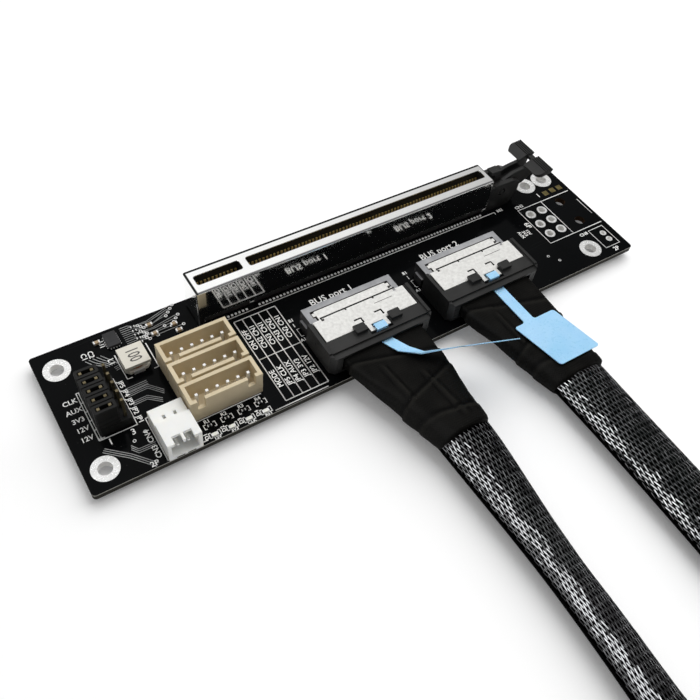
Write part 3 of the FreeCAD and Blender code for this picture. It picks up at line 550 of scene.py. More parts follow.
# by material slot: name, dark and light tone, range of roughness
finishes = {
    "black_plastic": grainyFinish(
        "blackMoulding", (0.010, 0.010, 0.0098), (0.022, 0.0218, 0.021), (0.36, 0.52), specular=0.35),
    "socket_plastic": socketFinish(),
    "white_plastic": grainyFinish(
        "whiteNylon", (0.85, 0.85, 0.81), (0.91, 0.91, 0.88), (0.36, 0.5), depth=0.00001, glow=0.3),
    "beige_plastic": grainyFinish(
        "naturalNylon", (0.59, 0.495, 0.325), (0.68, 0.575, 0.395), (0.36, 0.52), depth=0.00001, glow=0.12),
    "ferrite": grainyFinish(
        "lacqueredFerrite", (0.66, 0.63, 0.55), (0.74, 0.71, 0.63), (0.45, 0.6)),
    "copper": grainyFinish(
        "enamelWire", (0.25, 0.10, 0.04), (0.38, 0.17, 0.07), (0.25, 0.4), metallic=0.8),
    "chip_black": grainyFinish(
        "chipEpoxy", (0.017, 0.017, 0.018), (0.032, 0.032, 0.033), (0.45, 0.6), specular=0.3),
    "ceramic": grainyFinish(
        "chipCeramic", (0.30, 0.21, 0.12), (0.42, 0.31, 0.19), (0.4, 0.55)),
    "lamp_white": grainyFinish(
        "lampLens", (0.78, 0.78, 0.7), (0.88, 0.88, 0.82), (0.15, 0.3)),
    "tin": grainyFinish(
        "tinPlate", (0.76, 0.76, 0.75), (0.87, 0.87, 0.86), (0.25, 0.42), grains=2500.0, metallic=0.5),
    "gold": contactFinish(),
    "shield_steel": shieldFinish(),
    "latch_steel": grainyFinish(
        "mattSteel", (0.66, 0.655, 0.63), (0.83, 0.825, 0.80), (0.4, 0.52),
        grains=5000.0, clouds=1400.0, metallic=0.35, edge=0.00006),
    "blue_film": grainyFinish(
        "blueFilm", (0.30, 0.60, 0.86), (0.40, 0.67, 0.92), (0.22, 0.4), grains=1500.0, clouds=140.0,
        marks=0.3, dust=(0.75, 0.85, 0.92), glow=0.15, glowReach=(0.000015, 0.00003, 0.00005),
        relief="Tint", bump=0.15, depth=0.00008, edge=0.0),
    "black_tape": tapeFinish(),
    "braid": strandFinish(),
    "solder_mask": maskFinish(),
}
# nodes that look a little unlike the rest of their slot
special = {
    "mounting_hole_lands": grainyFinish(
        "landTin", (0.74, 0.74, 0.73), (0.86, 0.86, 0.85), (0.2, 0.3),
        grains=2500.0, clouds=500.0, metallic=0.45, marks=0.1),
    "jumper_pins": grainyFinish(
        "pinBronze", (0.11, 0.09, 0.05), (0.24, 0.2, 0.12), (0.25, 0.4),
        grains=2500.0, clouds=500.0, metallic=0.95),
    "jumper_header": grainyFinish(
        "jumperMoulding", (0.006, 0.006, 0.0058), (0.014, 0.014, 0.0135), (0.36, 0.52), specular=0.15),
}
for number in range(1, 6):
    special[f"jumper_cap_{number}"] = special["jumper_header"]
for part in frame["record"]["subparts"]:
    holder = nodes[part["node"]]
    holder.data.materials.clear()
    holder.data.materials.append(special.get(part["node"], finishes[part["material_slot"]]))
print("finishes on", len(nodes), "CAD nodes")


def dress(piece, finish, body="board"):
    piece.data.materials.clear()
    piece.data.materials.append(finish)
    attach(piece, body)
    return piece


def mendMesh(piece, weld=0.0, outward=True):
    # near points joined, faces turned outward
    makeActive(piece)
    bpy.ops.object.mode_set(mode="EDIT")
    bpy.ops.mesh.select_all(action="SELECT")
    if weld:
        bpy.ops.mesh.remove_doubles(threshold=weld)
    if outward:
        bpy.ops.mesh.normals_make_consistent(inside=False)
    bpy.ops.object.mode_set(mode="OBJECT")


def copyNode(node, name):
    # a node's shape as a piece of its own, with its loose triangles joined
    mesh = nodes[node].data.copy()
    mesh.name = name
    piece = newObject(name, mesh)
    mendMesh(piece, weld=0.000002, outward=False)
    return piece


def applyModifier(piece, kind, **settings):
    makeActive(piece)
    made = piece.modifiers.new(kind.lower(), kind)
    for key, value in settings.items():
        setattr(made, key, value)
    bpy.ops.object.modifier_apply(modifier=made.name)


def applyPlace():
    bpy.ops.object.transform_apply(location=True, rotation=True, scale=True)


# places along and across are shares of the wrap, seen from its plug
tape = {
    "voxel": 0.00042,
    "smoothing": {"factor": 0.5, "iterations": 8},
    "lastSmoothing": {"factor": 0.35, "iterations": 1},
    "laps": [(0.24, 0.2, 0.42), (0.58, -0.22, 0.36), (0.82, 0.12, 0.24)],  # place along, slant, height in mm
    "lapEdge": 0.006,
    "lapFade": 0.3,
    # painted shade before each lap's edge and painted highlight just past it, as shares past the edge
    "lapShade": (-0.05, -0.012, 0.004),  # start, peak and end
    "lapHighlight": (0.002, 0.014, 0.045),
    "creases": [(0.28, 0.24, 0.66, 0.55), (0.62, 0.42, 0.95, 0.4)],  # place across, from, to, height in mm
    "creaseWidth": 0.045,
    "creaseSlant": 0.12,
    "creaseEnd": 0.08,
    # painted shade beside each crease and painted highlight on its ridge, in crease widths
    "creaseShade": 0.45,
    "creaseHighlight": 0.5,
    "folds": 0.36,
    "foldWaves": (300, 85, 300),
    "grain": 0.05,
    "grainWaves": 1400,
    "seedStep": 3.7,
    "hold": (0.02, 0.14),
    "flare": (0.5, 1.0),
    "lidMargin": 0.0006,
    "lidFacing": 0.2,
    "floorGap": 0.00003,
    "axes": [(1.0, 0.1), (35.7, 0.05), (2.0, 0.1), (37.5, 0.05)],  # middle in mm, widening at the cable
}


def ease(value, low, high):
    share = min(1.0, max(0.0, (value - low) / (high - low)))
    return share * share * (3 - 2 * share)


def swell(value, start, peak, end):
    return ease(value, start, peak) * (1.0 - ease(value, peak, end))


def pastLap(along, across, place, slant):
    return along - place - slant * (across - 0.5)


def besideCrease(along, across, place, first):
    # distance from the crease's ridge, in its widths
    return abs(across - place - tape["creaseSlant"] * (along - first)) / tape["creaseWidth"]


def creaseSpan(along, first, last):
    end = tape["creaseEnd"]
    return ease(along, first, first + end) * (1.0 - ease(along, last - end, last))


def tapeRelief(along, across, spot, seed):
    # overlapping laps, long creases and soft folds, in mm
    rise = 0.0
    for place, slant, height in tape["laps"]:
        past = pastLap(along, across, place, slant)
        rise += height * ease(past, -tape["lapEdge"], tape["lapEdge"]) * (1.0 - ease(past, 0.0, tape["lapFade"]))
    for place, first, last, height in tape["creases"]:
        near = max(0.0, 1.0 - besideCrease(along, across, place, first))
        rise += height * near * near * creaseSpan(along, first, last)
    drawn = spot * Vector(tape["foldWaves"]) + Vector((0.0, 0.0, seed))
    rise += tape["folds"] * noise.noise(drawn)
    rise += tape["grain"] * noise.noise(spot * tape["grainWaves"])
    return rise


def foldShade(along, across):
    # 1 for painted shadow of a lap or beside a crease, -1 for painted highlight on the edge above it
    shade, highlight = 0.0, 0.0
    for place, slant, _ in tape["laps"]:
        past = pastLap(along, across, place, slant)
        shade = max(shade, swell(past, *tape["lapShade"]))
        highlight = max(highlight, swell(past, *tape["lapHighlight"]))
    for place, first, last, _ in tape["creases"]:
        beside = besideCrease(along, across, place, first)
        span = creaseSpan(along, first, last)
        shade = max(shade, span * max(0.0, 1.0 - abs(beside - 1.0) / tape["creaseShade"]))
        highlight = max(highlight, span * max(0.0, 1.0 - beside / tape["creaseHighlight"]))
    return shade if shade > highlight else -highlight


def isUnder(spot, lid):
    margin = tape["lidMargin"]
    return all(lid[0][i] - margin < spot[i] < lid[1][i] + margin for i in (0, 1))


def wrapTape(node, number):
    piece = copyNode(node, "clothTape_" + node)
    applyModifier(piece, "REMESH", mode="VOXEL", voxel_size=tape["voxel"])
    applyModifier(piece, "SMOOTH", **tape["smoothing"])
    low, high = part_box(node)
    far = node.startswith("far")
    axis, widening = tape["axes"][number]
    seed = tape["seedStep"] * number
    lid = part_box(node.replace("tape_wrap", "pull_tab"))
    moved, folds = [], []
    for point in piece.data.vertices:
        along = (high.y - point.co.y) / (high.y - low.y)
        along = 1.0 - along if far else along
        across = (point.co.x - low.x) / (high.x - low.x)
        hold = ease(along, *tape["hold"])
        rise = tapeRelief(along, across, point.co, seed) * hold * mm
        if isUnder(point.co, lid) and point.normal.z > tape["lidFacing"] and node != "tape_wrap_1":
            rise = min(rise, 0.0)  # nothing pokes through a tab that lies on the tape
        # painted shade and highlight, kept as an attribute for the tape's finish
        folds.append(foldShade(along, across) * hold)
        place = point.co + point.normal * rise
        place.x += (place.x - axis * mm) * widening * ease(along, *tape["flare"])
        place.z = max(place.z, floorLevel + tape["floorGap"])
        moved.append(place)
    for point, place in zip(piece.data.vertices, moved):
        point.co = place
    piece.data.attributes.new("paintedFoldLight", "FLOAT", "POINT").data.foreach_set("value", folds)
    applyModifier(piece, "SMOOTH", **tape["lastSmoothing"])
    makeActive(piece)
    bpy.ops.object.shade_smooth()
    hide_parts(node)
    return dress(piece, finishes["black_tape"])


tapes = {node: wrapTape(node, number) for number, node in enumerate(allEnds("tape_wrap"))}
print("tape wraps ready")

tab = {
    "cornerRadius": 0.0011,
    "cornerSegments": 5,
    "cornerEdge": 0.00034,  # a corner's edge is no longer than the film is thick
    "paddleFrom": 0.5,  # share of the reach from the latch
    "flatAngle": 1.0,
}


def roundTab(node):
    # film tab with round paddle corners
    piece = copyNode(node, "filmTab_" + node)
    bpy.ops.object.mode_set(mode="EDIT")
    bpy.ops.mesh.select_all(action="SELECT")
    bpy.ops.mesh.dissolve_limited(angle_limit=math.radians(tab["flatAngle"]))
    bpy.ops.mesh.select_all(action="DESELECT")
    bpy.ops.object.mode_set(mode="OBJECT")
    mesh = piece.data
    low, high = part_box(node.replace("pull_tab", "plug_latch"))
    root = (low + high) / 2
    reach = max((point.co - root).length for point in mesh.vertices)
    corners = []
    for edge in mesh.edges:
        a, b = (mesh.vertices[i].co for i in edge.vertices)
        if (a - b).length < tab["cornerEdge"] and ((a + b) / 2 - root).length > tab["paddleFrom"] * reach:
            edge.select = True
            corners.append(edge.index)
    bpy.ops.object.mode_set(mode="EDIT")
    bpy.ops.mesh.select_mode(type="EDGE")
    if corners:
        bpy.ops.mesh.bevel(
            offset=tab["cornerRadius"], segments=tab["cornerSegments"], affect="EDGES", clamp_overlap=True)
    bpy.ops.mesh.select_all(action="SELECT")
    bpy.ops.mesh.quads_convert_to_tris()
    bpy.ops.object.mode_set(mode="OBJECT")
    bpy.ops.object.shade_flat()
    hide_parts(node)
    print(node, "corners", len(corners))
    return dress(piece, finishes["blue_film"])


tabs = {node: roundTab(node) for node in allEnds("pull_tab")}
print("film tabs ready")

# girth: distance from the tuck in mm, shares of the width and of the height, sideways drift in mm
cables = {
    "1": {
        "route": [(1.0, -46.0), (1.0, -80.0), (-1.8, -120.0), (-0.5, -162.0), (2.0, -204.0), (2.0, -238.0)],
        "size": (10.8, 10.0),
        "girth": [
            (0, 1.26, 0.92, 0.0), (8, 1.2, 0.9, 0.0), (17, 1.06, 0.88, 0.3),
            (27, 0.9, 0.86, 0.6), (38, 0.79, 0.84, 0.7), (58, 0.79, 0.84, 0.5),
            (140, 0.84, 0.86, 0.2), (176, 0.98, 0.9, 0.0), (200, 1.22, 0.92, 0.0),
        ],
    },
    "2": {
        "route": [(35.7, -46.0), (35.7, -80.0), (34.0, -120.0), (35.5, -162.0), (37.5, -204.0), (37.5, -238.0)],
        "size": (13.4, 7.6),
        "girth": [
            (0, 1.1, 1.0, 0.0), (16, 1.05, 1.0, 0.0), (60, 1.03, 1.0, 0.0),
            (150, 1.0, 1.0, 0.0), (200, 1.1, 1.0, 0.0),
        ],
    },
}
# lengths in mm
braid = {
    "strands": 70,
    "turnsPerMm": 0.0052,
    "strandWidth": 0.36,
    "strandThick": 0.13,
    "crown": 0.66,
    "roll": 0.22,
    "seed": 7,
    "weave": 0.08,
    "weaveStart": 0.25,
    # painted shade on the lower side: the upward part of the normal over which reflectance rises, then the crest
    # light's base and gain
    "dull": (0.05, 0.4),
    "crest": (0.6, 0.4),
    "coreInset": 0.42,
    "coreSides": 40,
    "coreStep": 4,
    "tuck": 3.0,
    "step": 1.3736,
    "routeSteps": 48,
    "ovalSteps": 721,
    "girthMargin": 20.0,
    "girthBlur": 15,
    "smoothAngle": 28,
}


def splinePoints(route, level):
    curve = bpy.data.curves.new("cableRoute", "CURVE")
    curve.dimensions = "3D"
    spline = curve.splines.new("NURBS")
    spline.points.add(len(route) - 1)
    for spot, (x, y) in zip(spline.points, route):
        spot.co = (x * mm, y * mm, level, 1.0)
    spline.order_u = 3
    spline.use_endpoint_u = True
    spline.resolution_u = braid["routeSteps"]
    holder = newObject("cableRoute", curve)
    line = bpy.data.meshes.new_from_object(holder)
    points = np.array([point.co for point in line.vertices])
    bpy.data.objects.remove(holder)
    return points


def unit(rows):
    return rows / np.linalg.norm(rows, axis=1)[:, None]


def evenStations(points, step, tuck):
    # even steps along the line, with a straight tuck into the tape at each end
    first, last = (end + unit(np.array([end - inner]))[0] * tuck
                   for end, inner in ((points[0], points[1]), (points[-1], points[-2])))
    points = np.vstack([first, points, last])
    runs = np.linalg.norm(np.diff(points, axis=0), axis=1)
    along = np.concatenate([[0.0], np.cumsum(runs)])
    wanted = np.linspace(0.0, along[-1], int(along[-1] / step) + 1)
    spots = np.stack([np.interp(wanted, along, points[:, i]) for i in range(3)], axis=1)
    ahead = unit(np.gradient(spots, axis=0))
    side = unit(np.stack([ahead[:, 1], -ahead[:, 0], np.zeros(len(ahead))], axis=1))
    return wanted, spots, side


def evenTurns(width, height):
    # share of the way round the oval, as an angle
    angles = np.linspace(0.0, 2 * math.pi, braid["ovalSteps"])
    walk = np.hypot(np.diff(width * np.cos(angles)), np.diff(height * np.sin(angles)))
    shares = np.concatenate([[0.0], np.cumsum(walk)])
    return shares / shares[-1], angles


def ovalPoint(spots, side, angle, width, height, lift):
    # points on an oval round the line, lifted along its outward normal
    across, up = width * np.cos(angle), height * np.sin(angle)
    normal = unit(np.stack([np.cos(angle) / width, np.sin(angle) / height], axis=1))
    across, up = across + normal[:, 0] * lift, up + normal[:, 1] * lift
    return spots + side * across[:, None] + np.array([0, 0, 1.0]) * up[:, None]


def girthAlong(along, girth):
    # width and height shares and drift at every station, with the corners smoothed
    table = np.array(girth, float)
    run = np.arange(-braid["girthMargin"], along[-1] + braid["girthMargin"] + 1.0)
    blur = np.hanning(braid["girthBlur"])
    found = []
    for column in (1, 2, 3):
        values = np.interp(run, table[:, 0], table[:, column])
        padded = np.pad(values, len(blur) // 2, mode="edge")
        soft = np.convolve(padded, blur / blur.sum(), mode="valid")
        found.append(np.interp(along, run, soft))
    return found


def weaveStrand(line, family, strand, draws):
    # four corners at every station of one strand, and its painted crest light: high where it passes over, low as
    # painted shade where it dips under and on the downward side
    along, spots, side, width, height, shares, angles = line
    half, thick = braid["strandWidth"] * mm / 2, braid["strandThick"] * mm
    middle = -(braid["weave"] + braid["strandThick"]) * mm
    rate = braid["turnsPerMm"] / mm
    turn = strand / braid["strands"] + family * rate * along
    angle = np.interp(turn % 1.0, shares, angles)
    phase = math.pi * (strand - braid["weaveStart"] + family * braid["strands"] * rate * along)
    lift = middle + family * braid["weave"] * mm * np.cos(phase)
    heart = ovalPoint(spots, side, angle, width, height, lift)
    outer = ovalPoint(spots, side, angle, width, height, lift + thick)
    outward = (outer - heart) / thick
    across = np.cross(unit(np.gradient(heart, axis=0)), outward)
    # painted shade: strands that face down get little reflectance
    upperLight = np.interp(outward[:, 2], braid["dull"], (0.0, 1.0))
    overRun = np.floor(phase / (2 * math.pi) + (0.5 if family == 1 else 0.0)).astype(int)
    tilt = draws.uniform(-1.0, 1.0, overRun.max() - overRun.min() + 1)[overRun - overRun.min()]
    roll = (braid["roll"] * upperLight * tilt)[:, None]
    top = (outward * np.cos(roll) - across * np.sin(roll)) * thick
    beside = (across * np.cos(roll) + outward * np.sin(roll)) * half
    shoulder = beside * braid["crown"]
    ring = np.stack([heart + beside, heart + top + shoulder, heart + top - shoulder, heart - beside], axis=1)
    base, gain = braid["crest"]
    crest = (0.5 + 0.5 * family * np.cos(phase)) * (base + gain * upperLight)
    return ring.reshape(-1, 3), np.stack([crest * 0, crest, crest, crest * 0], axis=1).ravel()


def coreRings(line):
    along, spots, side, width, height, shares, angles = line
    sides = braid["coreSides"]
    angle = np.interp(np.arange(sides) / sides, shares, angles)
    lift = np.full(sides, -braid["coreInset"] * mm)
    rings = []
    for i in range(0, len(along), braid["coreStep"]):
        spot, beside = np.repeat(spots[i:i + 1], sides, 0), np.repeat(side[i:i + 1], sides, 0)
        rings.append(ovalPoint(spot, beside, angle, width[i], height[i], lift))
    return np.vstack(rings)


def tubeFaces(first, rings, around):
    # walls between neighbouring rings and a cap at each end
    faces = []
    for i in range(rings - 1):
        for corner in range(around):
            a, b = first + i * around + corner, first + i * around + (corner + 1) % around
            faces.append((a, b, b + around, a + around))
    last = first + (rings - 1) * around
    faces.append(tuple(first + i for i in reversed(range(around))))
    faces.append(tuple(last + i for i in range(around)))
    return faces


def makeCable(name, facts):
    # woven strands over a dark core, along the route's own spline
    width, height = (size / 2 * mm for size in facts["size"])
    points = splinePoints(facts["route"], floorLevel + height)
    along, spots, side = evenStations(points, braid["step"] * mm, braid["tuck"] * mm)
    wide, high, drift = girthAlong(along / mm, facts["girth"])
    spots = spots + side * (drift * mm)[:, None]
    spots[:, 2] += height * (high - 1.0)
    line = (along, spots, side, width * wide, height * high, *evenTurns(width, height))
    draws = np.random.default_rng(braid["seed"])
    vertices, faces, crests, total = [], [], [], 0
    for family in (1, -1):
        for strand in range(braid["strands"]):
            corners, crest = weaveStrand(line, family, strand, draws)
            vertices.append(corners)
            crests.append(crest)
            faces += tubeFaces(total, len(along), 4)
            total += len(corners)
    woven = len(faces)
    core = coreRings(line)
    vertices.append(core)
    crests.append(np.zeros(len(core)))
    faces += tubeFaces(total, len(core) // braid["coreSides"], braid["coreSides"])
    mesh = bpy.data.meshes.new(f"sleevedCable{name}")
    mesh.from_pydata(np.vstack(vertices).tolist(), [], faces)
    mesh.polygons.foreach_set("material_index", [0] * woven + [1] * (len(faces) - woven))
    mesh.attributes.new("crest", "FLOAT", "POINT").data.foreach_set("value", np.concatenate(crests))
    mesh.update()
    piece = newObject(f"sleevedCable{name}", mesh)
    mendMesh(piece)
    bpy.ops.object.shade_smooth_by_angle(angle=math.radians(braid["smoothAngle"]))
    return piece, points


coreFinish = grainyFinish(
    "wireCore", (0.002, 0.002, 0.002), (0.004, 0.022, 0.026), (0.7, 0.9), clouds=300.0, specular=0.05, edge=0.0)
for name, facts in cables.items():
    piece, points = makeCable(name, facts)
    kinds = [face.material_index for face in piece.data.polygons]
    dress(piece, finishes["braid"])
    piece.data.materials.append(coreFinish)
    piece.data.polygons.foreach_set("material_index", kinds)
    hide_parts(f"cable_sleeve_{name}")
    onEnd = [nodes[f"far_{kind}_{name}"] for kind in ("plug_housing", "paddle_card", "plug_latch")]
    onEnd += [tapes[f"far_tape_wrap_{name}"], tabs[f"far_pull_tab_{name}"]]
print("cables ready")

# lengths in mm
ink = {
    "line": 0.3,
    "thin": 0.23,
    "bold": 0.03,
    "height": 0.012,
    "flat": 0.12,
    "capShare": 0.69,
    "wordSteps": 2,
    "weld": 0.001,
}


def drawLines(name, lines, width, level=boardTop):
    # flat strokes of ink or copper along straight runs, in mm
    curve = bpy.data.curves.new(name, "CURVE")
    curve.dimensions = "3D"
    curve.twist_mode = "Z_UP"
    curve.bevel_depth = width / 2 * mm
    curve.bevel_resolution = 0
    curve.use_fill_caps = True
    for line in lines:
        spline = curve.splines.new("POLY")
        spline.points.add(len(line) - 1)
        for spot, (x, y) in zip(spline.points, line):
            spot.co = (x * mm, y * mm, 0.0, 1.0)
    makeActive(newObject(name, curve))
    bpy.ops.object.convert(target="MESH")
    piece = bpy.context.object
    piece.scale.z = ink["flat"]
    piece.location.z = level
    applyPlace()
    return piece


def drawWords(words, x, y, height, turn=0, level=boardTop, narrow=1.0):
    # words by their middle; the height is that of a capital, in mm
    deselectAll()
    bpy.ops.object.text_add(location=(x * mm, y * mm, level), rotation=(0, 0, math.radians(turn)))
    text = bpy.context.object.data
    text.body = words
    text.size = height * mm / ink["capShare"]
    text.align_x = "CENTER"
    text.align_y = "CENTER"
    text.extrude = ink["height"] * mm
    text.offset = ink["bold"] * mm
    text.resolution_u = ink["wordSteps"]
    bpy.ops.object.convert(target="MESH")
    piece = bpy.context.object
    piece.scale.x = narrow
    applyPlace()
    return piece


def joinPieces(name, pieces):
    makeActive(*pieces)
    bpy.ops.object.join()
    piece = bpy.context.object
    piece.name = name
    piece.data.name = name
    mendMesh(piece, weld=ink["weld"] * mm)
    return piece


def rectangle(left, front, right, back):
    return [(left, front), (right, front), (right, back), (left, back), (left, front)]


# places and lengths in mm
printed = {
    "jumperRows": [4.6, 2.0, -0.6, -3.2, -5.8],
    "jumperNames": ["CLK", "AUX", "3V3", "12V", "12V"],
    "rowNames": ["JP5", "JP4", "JP3", "JP2", "JP1"],
    "lampPlaces": [-46.3, -42.2, -38.0, -33.8],
    "lampNames": ["12V", "3V3", "CLK", "RST"],
    "lampBrackets": [(-15.25, 1.35, 0.6), (-17.7, 1.3, 0.65)],  # row, reach and half depth
    "bracketLip": 0.5,
    "tableColumns": [-28.6, -26.4, -24.2, -22.0, -19.7, -17.3],
    "tableRows": [-17.6, 8.1, -4.7],  # front, back and the line between
    "tableLow": ["MODE", "JP5 CLK", "JP4 AUX", "JP3 3V3", "JP2 12V"],
    "tableHigh": ["ON OFF", "CN2 CN1", "CN3 CN1", "CN3 CN2", "CN2 CN1"],
    "ports": [-2.0, 32.1],
    "bold": [
        # jumper block, inductor, side header
        rectangle(-68.3, -7.45, -59.75, 6.25), [(-67.7, -7.3), (-67.7, 6.1)],
        [(-57.0, 12.2), (-57.0, 4.6), (-55.7, 4.6)], [(-49.4, 12.2), (-49.4, 4.6), (-50.6, 4.6)],
        [(-57.7, -18.9), (-57.7, -6.9), (-56.6, -6.9)],
        # power headers, front edge
        [(-49.0, 5.6), (-49.0, -13.1), (-32.6, -13.1)],
        [(-49.4, -18.35), (-48.2, -18.35)], [(-31.9, -18.75), (-18.0, -18.75)],
        # in front of the slot's feet
        [(-29.6, 9.55), (54.2, 9.55)], [(54.2, 9.55), (54.2, 8.7)],
        # empty connector places at the right end
        [(80.3, 6.95), (60.9, 6.95), (60.9, -7.5), (80.3, -7.5)], [(69.6, 6.95), (69.6, -7.5)],
        rectangle(74.0, -16.2, 79.2, -8.8),
    ],
    "thin": [[(80.2, 2.9), (80.2, -3.7)]],
    # words, middle, height of a capital, turn in degrees
    "words": [
        ("1", -66.3, -8.8, 1.5), ("3", -61.2, -8.8, 1.5),
        ("L1", -58.3, 10.8, 1.3, -90), ("U1", -58.4, 16.4, 1.2, -90),
        ("C1", -63.2, 14.9, 1.2, -90), ("C2", -61.6, 14.9, 1.2, -90),
        ("CN4", -58.8, -11.4, 1.2, 90), ("CN3", -58.8, -15.6, 1.2, 90), ("2P", -60.4, -18.1, 1.3),
        ("B1", -31.3, 9.7, 0.9), ("B82", 56.2, 9.5, 0.9),
        ("6P", 59.6, 1.0, 1.5, -90), ("CN2", 62.3, 8.0, 1.0), ("CN8", 71.9, -9.2, 1.0),
        ("2P", 76.6, -17.6, 1.3), ("1", 70.7, 9.2, 1.5),
        ("12V", 58.0, -1.2, 0.9, -90), ("3V3", 56.7, -1.2, 0.9, -90), ("AUX", 55.4, -1.2, 0.9, -90),
    ],
}


def printBoard():
    bold, thin, words = list(printed["bold"]), list(printed["thin"]), list(printed["words"])
    for row, name, label in zip(printed["jumperRows"], printed["jumperNames"], printed["rowNames"]):
        words += [(name, -70.3, row, 1.2), (label, -58.75, row - 0.7, 1.1, -90)]
        thin.append([(-68.3, row - 1.3), (-66.9, row - 1.3)])
    for number, (place, name) in enumerate(zip(printed["lampPlaces"], printed["lampNames"]), 1):
        words += [(f"R{number}", place - 0.2, -14.0, 0.9), (f"D{number}", place - 1.9, -17.4, 0.9, 90)]
        words.append((name, place + 0.2, -18.75, 0.75))
        for side in (-1, 1):
            for row, reach, deep in printed["lampBrackets"]:
                edge = place + side * reach
                lip = edge - side * printed["bracketLip"]
                bold.append([(lip, row + deep), (edge, row + deep), (edge, row - deep), (lip, row - deep)])
    columns = printed["tableColumns"]
    front, back, _ = printed["tableRows"]
    bold += [[(columns[0], row), (columns[-1], row)] for row in printed["tableRows"]]
    bold += [[(column, front), (column, back)] for column in columns]
    for left, right, low, high in zip(columns, columns[1:], printed["tableLow"], printed["tableHigh"]):
        words += [(low, (left + right) / 2, -11.2, 1.25, 90), (high, (left + right) / 2, 1.6, 1.25, 90)]
    for port, place in enumerate(printed["ports"], 1):
        # pin marks at the socket's left wall, its name behind it
        words += [("B1", place - 14.1, 2.1, 0.9), ("1", place - 14.2, 0.4, 1.0)]
        words += [("A1", place - 14.3, -4.4, 0.9), (f"BUS port {port}", place - 1.0, 4.6, 1.9)]
        thin.append([(place - 13.5, -0.9), (place - 14.2, -0.9), (place - 14.2, -3.3), (place - 13.5, -3.3)])
    pieces = [drawLines("boldInk", bold, ink["line"]), drawLines("thinInk", thin, ink["thin"])]
    pieces += [drawWords(*word) for word in words]
    finish = grainyFinish(
        "printInk", (0.82, 0.82, 0.80), (0.9, 0.9, 0.88), (0.5, 0.65), grains=6000.0, clouds=900.0, edge=0.0)
    return dress(joinPieces("boardPrint", pieces), finish)


printBoard()
print("board print ready")

# places and lengths in mm
traces = {
    "width": 0.2,
    "gap": 0.5,
    "abreast": 3,
    "runs": [
        [(-58.5, 2.3), (-53.4, 2.4)],
        [(-58.3, 1.0), (-53.7, 1.2), (-51.0, -1.8)],
        [(-58.2, -1.6), (-54.9, -1.5), (-52.2, -3.75)],
        [(-68.1, -9.7), (-63.6, -13.7), (-59.6, -18.3)],
        [(-63.0, -11.7), (-61.9, -13.2), (-58.2, -13.3)],
        [(-58.3, 9.0), (-57.2, 9.2)],
    ],
    "fanCount": 9,
    "fanStart": (-53.2, 18.9),
    "fanStep": 0.62,
    "bundleCount": 5,
    "bundle": [(-63.4, 13.6, 0.9), (-62.4, 12.2, 0.9), (-60.8, 10.9, 0.75), (-59.6, 9.8, 0.6)],  # place, spacing
    "viaRadius": 0.32,
    "viaThick": 0.11,
    "vias": [
        (-64.5, 8.6), (-61.9, -11.0), (-59.0, -9.9), (-48.2, 14.4), (-45.9, 13.1),
        (-43.4, 14.9), (-41.2, 12.6), (56.9, -11.0), (58.8, -13.6),
    ],
}
ring = {"around": 24, "section": 8, "flat": 0.2}


def drawRing(place, radius, thick):
    # low tinned ring, domed like solder
    deselectAll()
    bpy.ops.mesh.primitive_torus_add(
        major_segments=ring["around"], minor_segments=ring["section"], major_radius=radius * mm,
        minor_radius=thick * mm, location=(place[0] * mm, place[1] * mm, boardTop))
    piece = bpy.context.object
    piece.scale.z = ring["flat"]
    applyPlace()
    bpy.ops.object.shade_smooth()
    return piece


def drawTraces():
    runs, vias = [], []
    for run in traces["runs"]:
        # side by side, spaced across the run's direction
        ahead = Vector(run[-1]) - Vector(run[0])
        aside = Vector((ahead.y, -ahead.x)).normalized() * traces["gap"]
        runs += [[(x + aside.x * i, y + aside.y * i) for x, y in run] for i in range(traces["abreast"])]
    start, first = traces["fanStart"]
    for i in range(traces["fanCount"]):
        # chip legs to the slot's end, each a step behind the last
        row = first - i * traces["fanStep"]
        bend = start + 2.0 + 0.55 * (i % 3)
        lane = row - 0.7 + 0.3 * (i % 2)
        end = (-39.2 - 0.9 * (i % 4), row + 1.2 - 0.22 * i)
        runs.append([(start, row), (bend, row), (bend + 1.2, lane), (bend + 4.6, lane), (end[0] - 1.0, end[1]), end])
        vias += [end, (bend + 2.2, row - 1.0)]
    for i in range(traces["bundleCount"]):
        runs.append([(x + spacing * i, y) for x, y, spacing in traces["bundle"]])
    finish = grainyFinish(
        "maskedCopper", (0.2, 0.205, 0.205), (0.4, 0.405, 0.4), (0.25, 0.4), clouds=200.0, metallic=0.3, edge=0.0)
    dress(drawLines("traces", runs, traces["width"]), finish)
    rings = [drawRing(place, traces["viaRadius"], traces["viaThick"]) for place in vias + traces["vias"]]
    return dress(joinPieces("viaRings", rings), finishes["tin"])


drawTraces()
print("traces ready")

# places and lengths in mm, rings by radius and thickness
places = {
    "powerColumns": (63.4, 67.6),
    "powerRows": (4.05, -0.15, -4.35),
    "powerRing": (1.2, 0.33),
    "fanPins": [(77.4, -11.3), (77.4, -13.8)],
    "fanRing": (0.72, 0.24),
    "pads": [(73.4, 9.1), (76.1, 9.25), (78.75, 9.25)],
    "padSides": (1.7, 1.7, 0.05),
    "padBevel": {"width": 0.00001, "segments": 2},
    "mark": {"words": "100", "height": 2.9, "turn": -90, "narrow": 0.62},
}


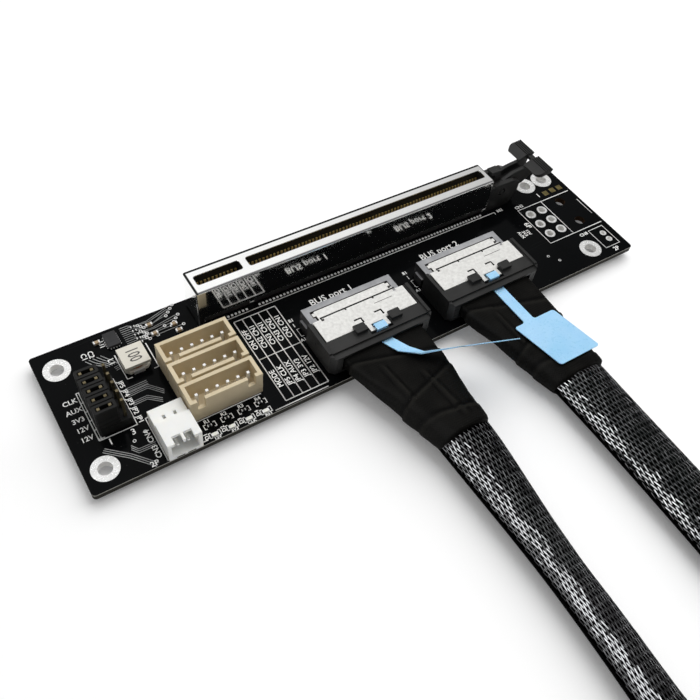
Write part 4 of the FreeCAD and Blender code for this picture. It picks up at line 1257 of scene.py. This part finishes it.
def dressPlaces():
    rings = [drawRing((x, y), *places["powerRing"]) for x in places["powerColumns"] for y in places["powerRows"]]
    rings += [drawRing(place, *places["fanRing"]) for place in places["fanPins"]]
    dress(joinPieces("emptyPlaceRings", rings), finishes["tin"])
    pads = []
    for x, y in places["pads"]:
        deselectAll()
        bpy.ops.mesh.primitive_cube_add(size=1.0, location=(x * mm, y * mm, boardTop))
        pad = bpy.context.object
        pad.scale = [side * mm for side in places["padSides"]]
        applyPlace()
        applyModifier(pad, "BEVEL", **places["padBevel"])
        pads.append(pad)
    finish = grainyFinish(
        "padGold", (0.12, 0.095, 0.035), (0.34, 0.28, 0.12), (0.3, 0.45), clouds=500.0, metallic=0.9, edge=0.0)
    dress(joinPieces("goldPads", pads), finish)
    low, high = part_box("inductor_core")
    middle = (low + high) / 2 / mm
    mark = drawWords(x=middle.x, y=middle.y, level=high.z, **places["mark"])
    finish = grainyFinish("markInk", (0.05, 0.045, 0.04), (0.09, 0.085, 0.08), (0.5, 0.65), edge=0.0)
    dress(joinPieces("inductorMark", [mark]), finish)


dressPlaces()
print("empty places ready")

# places across and behind the plate's root, in mm
plate = {
    "rootToTip": 3.9,
    "stepLine": (0.35, 10.6),  # row and half length
    "notches": (3.9, 0.3, 0.55),  # place, slant and depth
    "score": [(3.4, -1.7), (8.6, -1.7)],
    "slits": (1.9, 4.0, 1.9, 1.4),  # place, row in front, length and drop of the cuts beside the middle
    "wide": 0.42,
    "fine": 0.14,
}


def scorePlate(node):
    # painted shadow strokes on the sheet, along the step, at its two notches and in the cuts beside the middle, with a
    # faint dark score
    low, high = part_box(node)
    middle = (low.x + high.x) / 2 / mm
    far = node.startswith("far")
    turn = -1 if far else 1
    root = (low.y / mm + plate["rootToTip"]) if far else (high.y / mm - plate["rootToTip"])

    def spot(a, b):
        return (middle + turn * a, root + turn * b)

    row, half = plate["stepLine"]
    notch, slant, deep = plate["notches"]
    place, down, length, drop = plate["slits"]
    bold = [[spot(-half, row), spot(half, row)]]
    for side in (-1, 1):
        right = side * (place + length / 2) + length / 2
        bold.append([spot(side * notch, row), spot(side * notch + slant, row - deep)])
        bold.append([spot(right - length, -down), spot(right, -down), spot(right, -down - drop)])
    fine = [[spot(*end) for end in plate["score"]]]
    pieces = [drawLines("stepShadowLine", bold, plate["wide"], high.z), drawLines("scoreLine", fine, plate["fine"], high.z)]
    return dress(joinPieces("paintedShadowLines_" + node, pieces), paintedShadowFinish, body=node)


# painted shadow along the plate's step and in its cuts
paintedShadowFinish = grainyFinish(
    "shearShadow", (0.006, 0.006, 0.006), (0.02, 0.02, 0.019), (0.5, 0.7), clouds=700.0, specular=0.1, edge=0.0)
for node in allEnds("plug_latch"):
    scorePlate(node)
print("latch plates scored")

print("done")
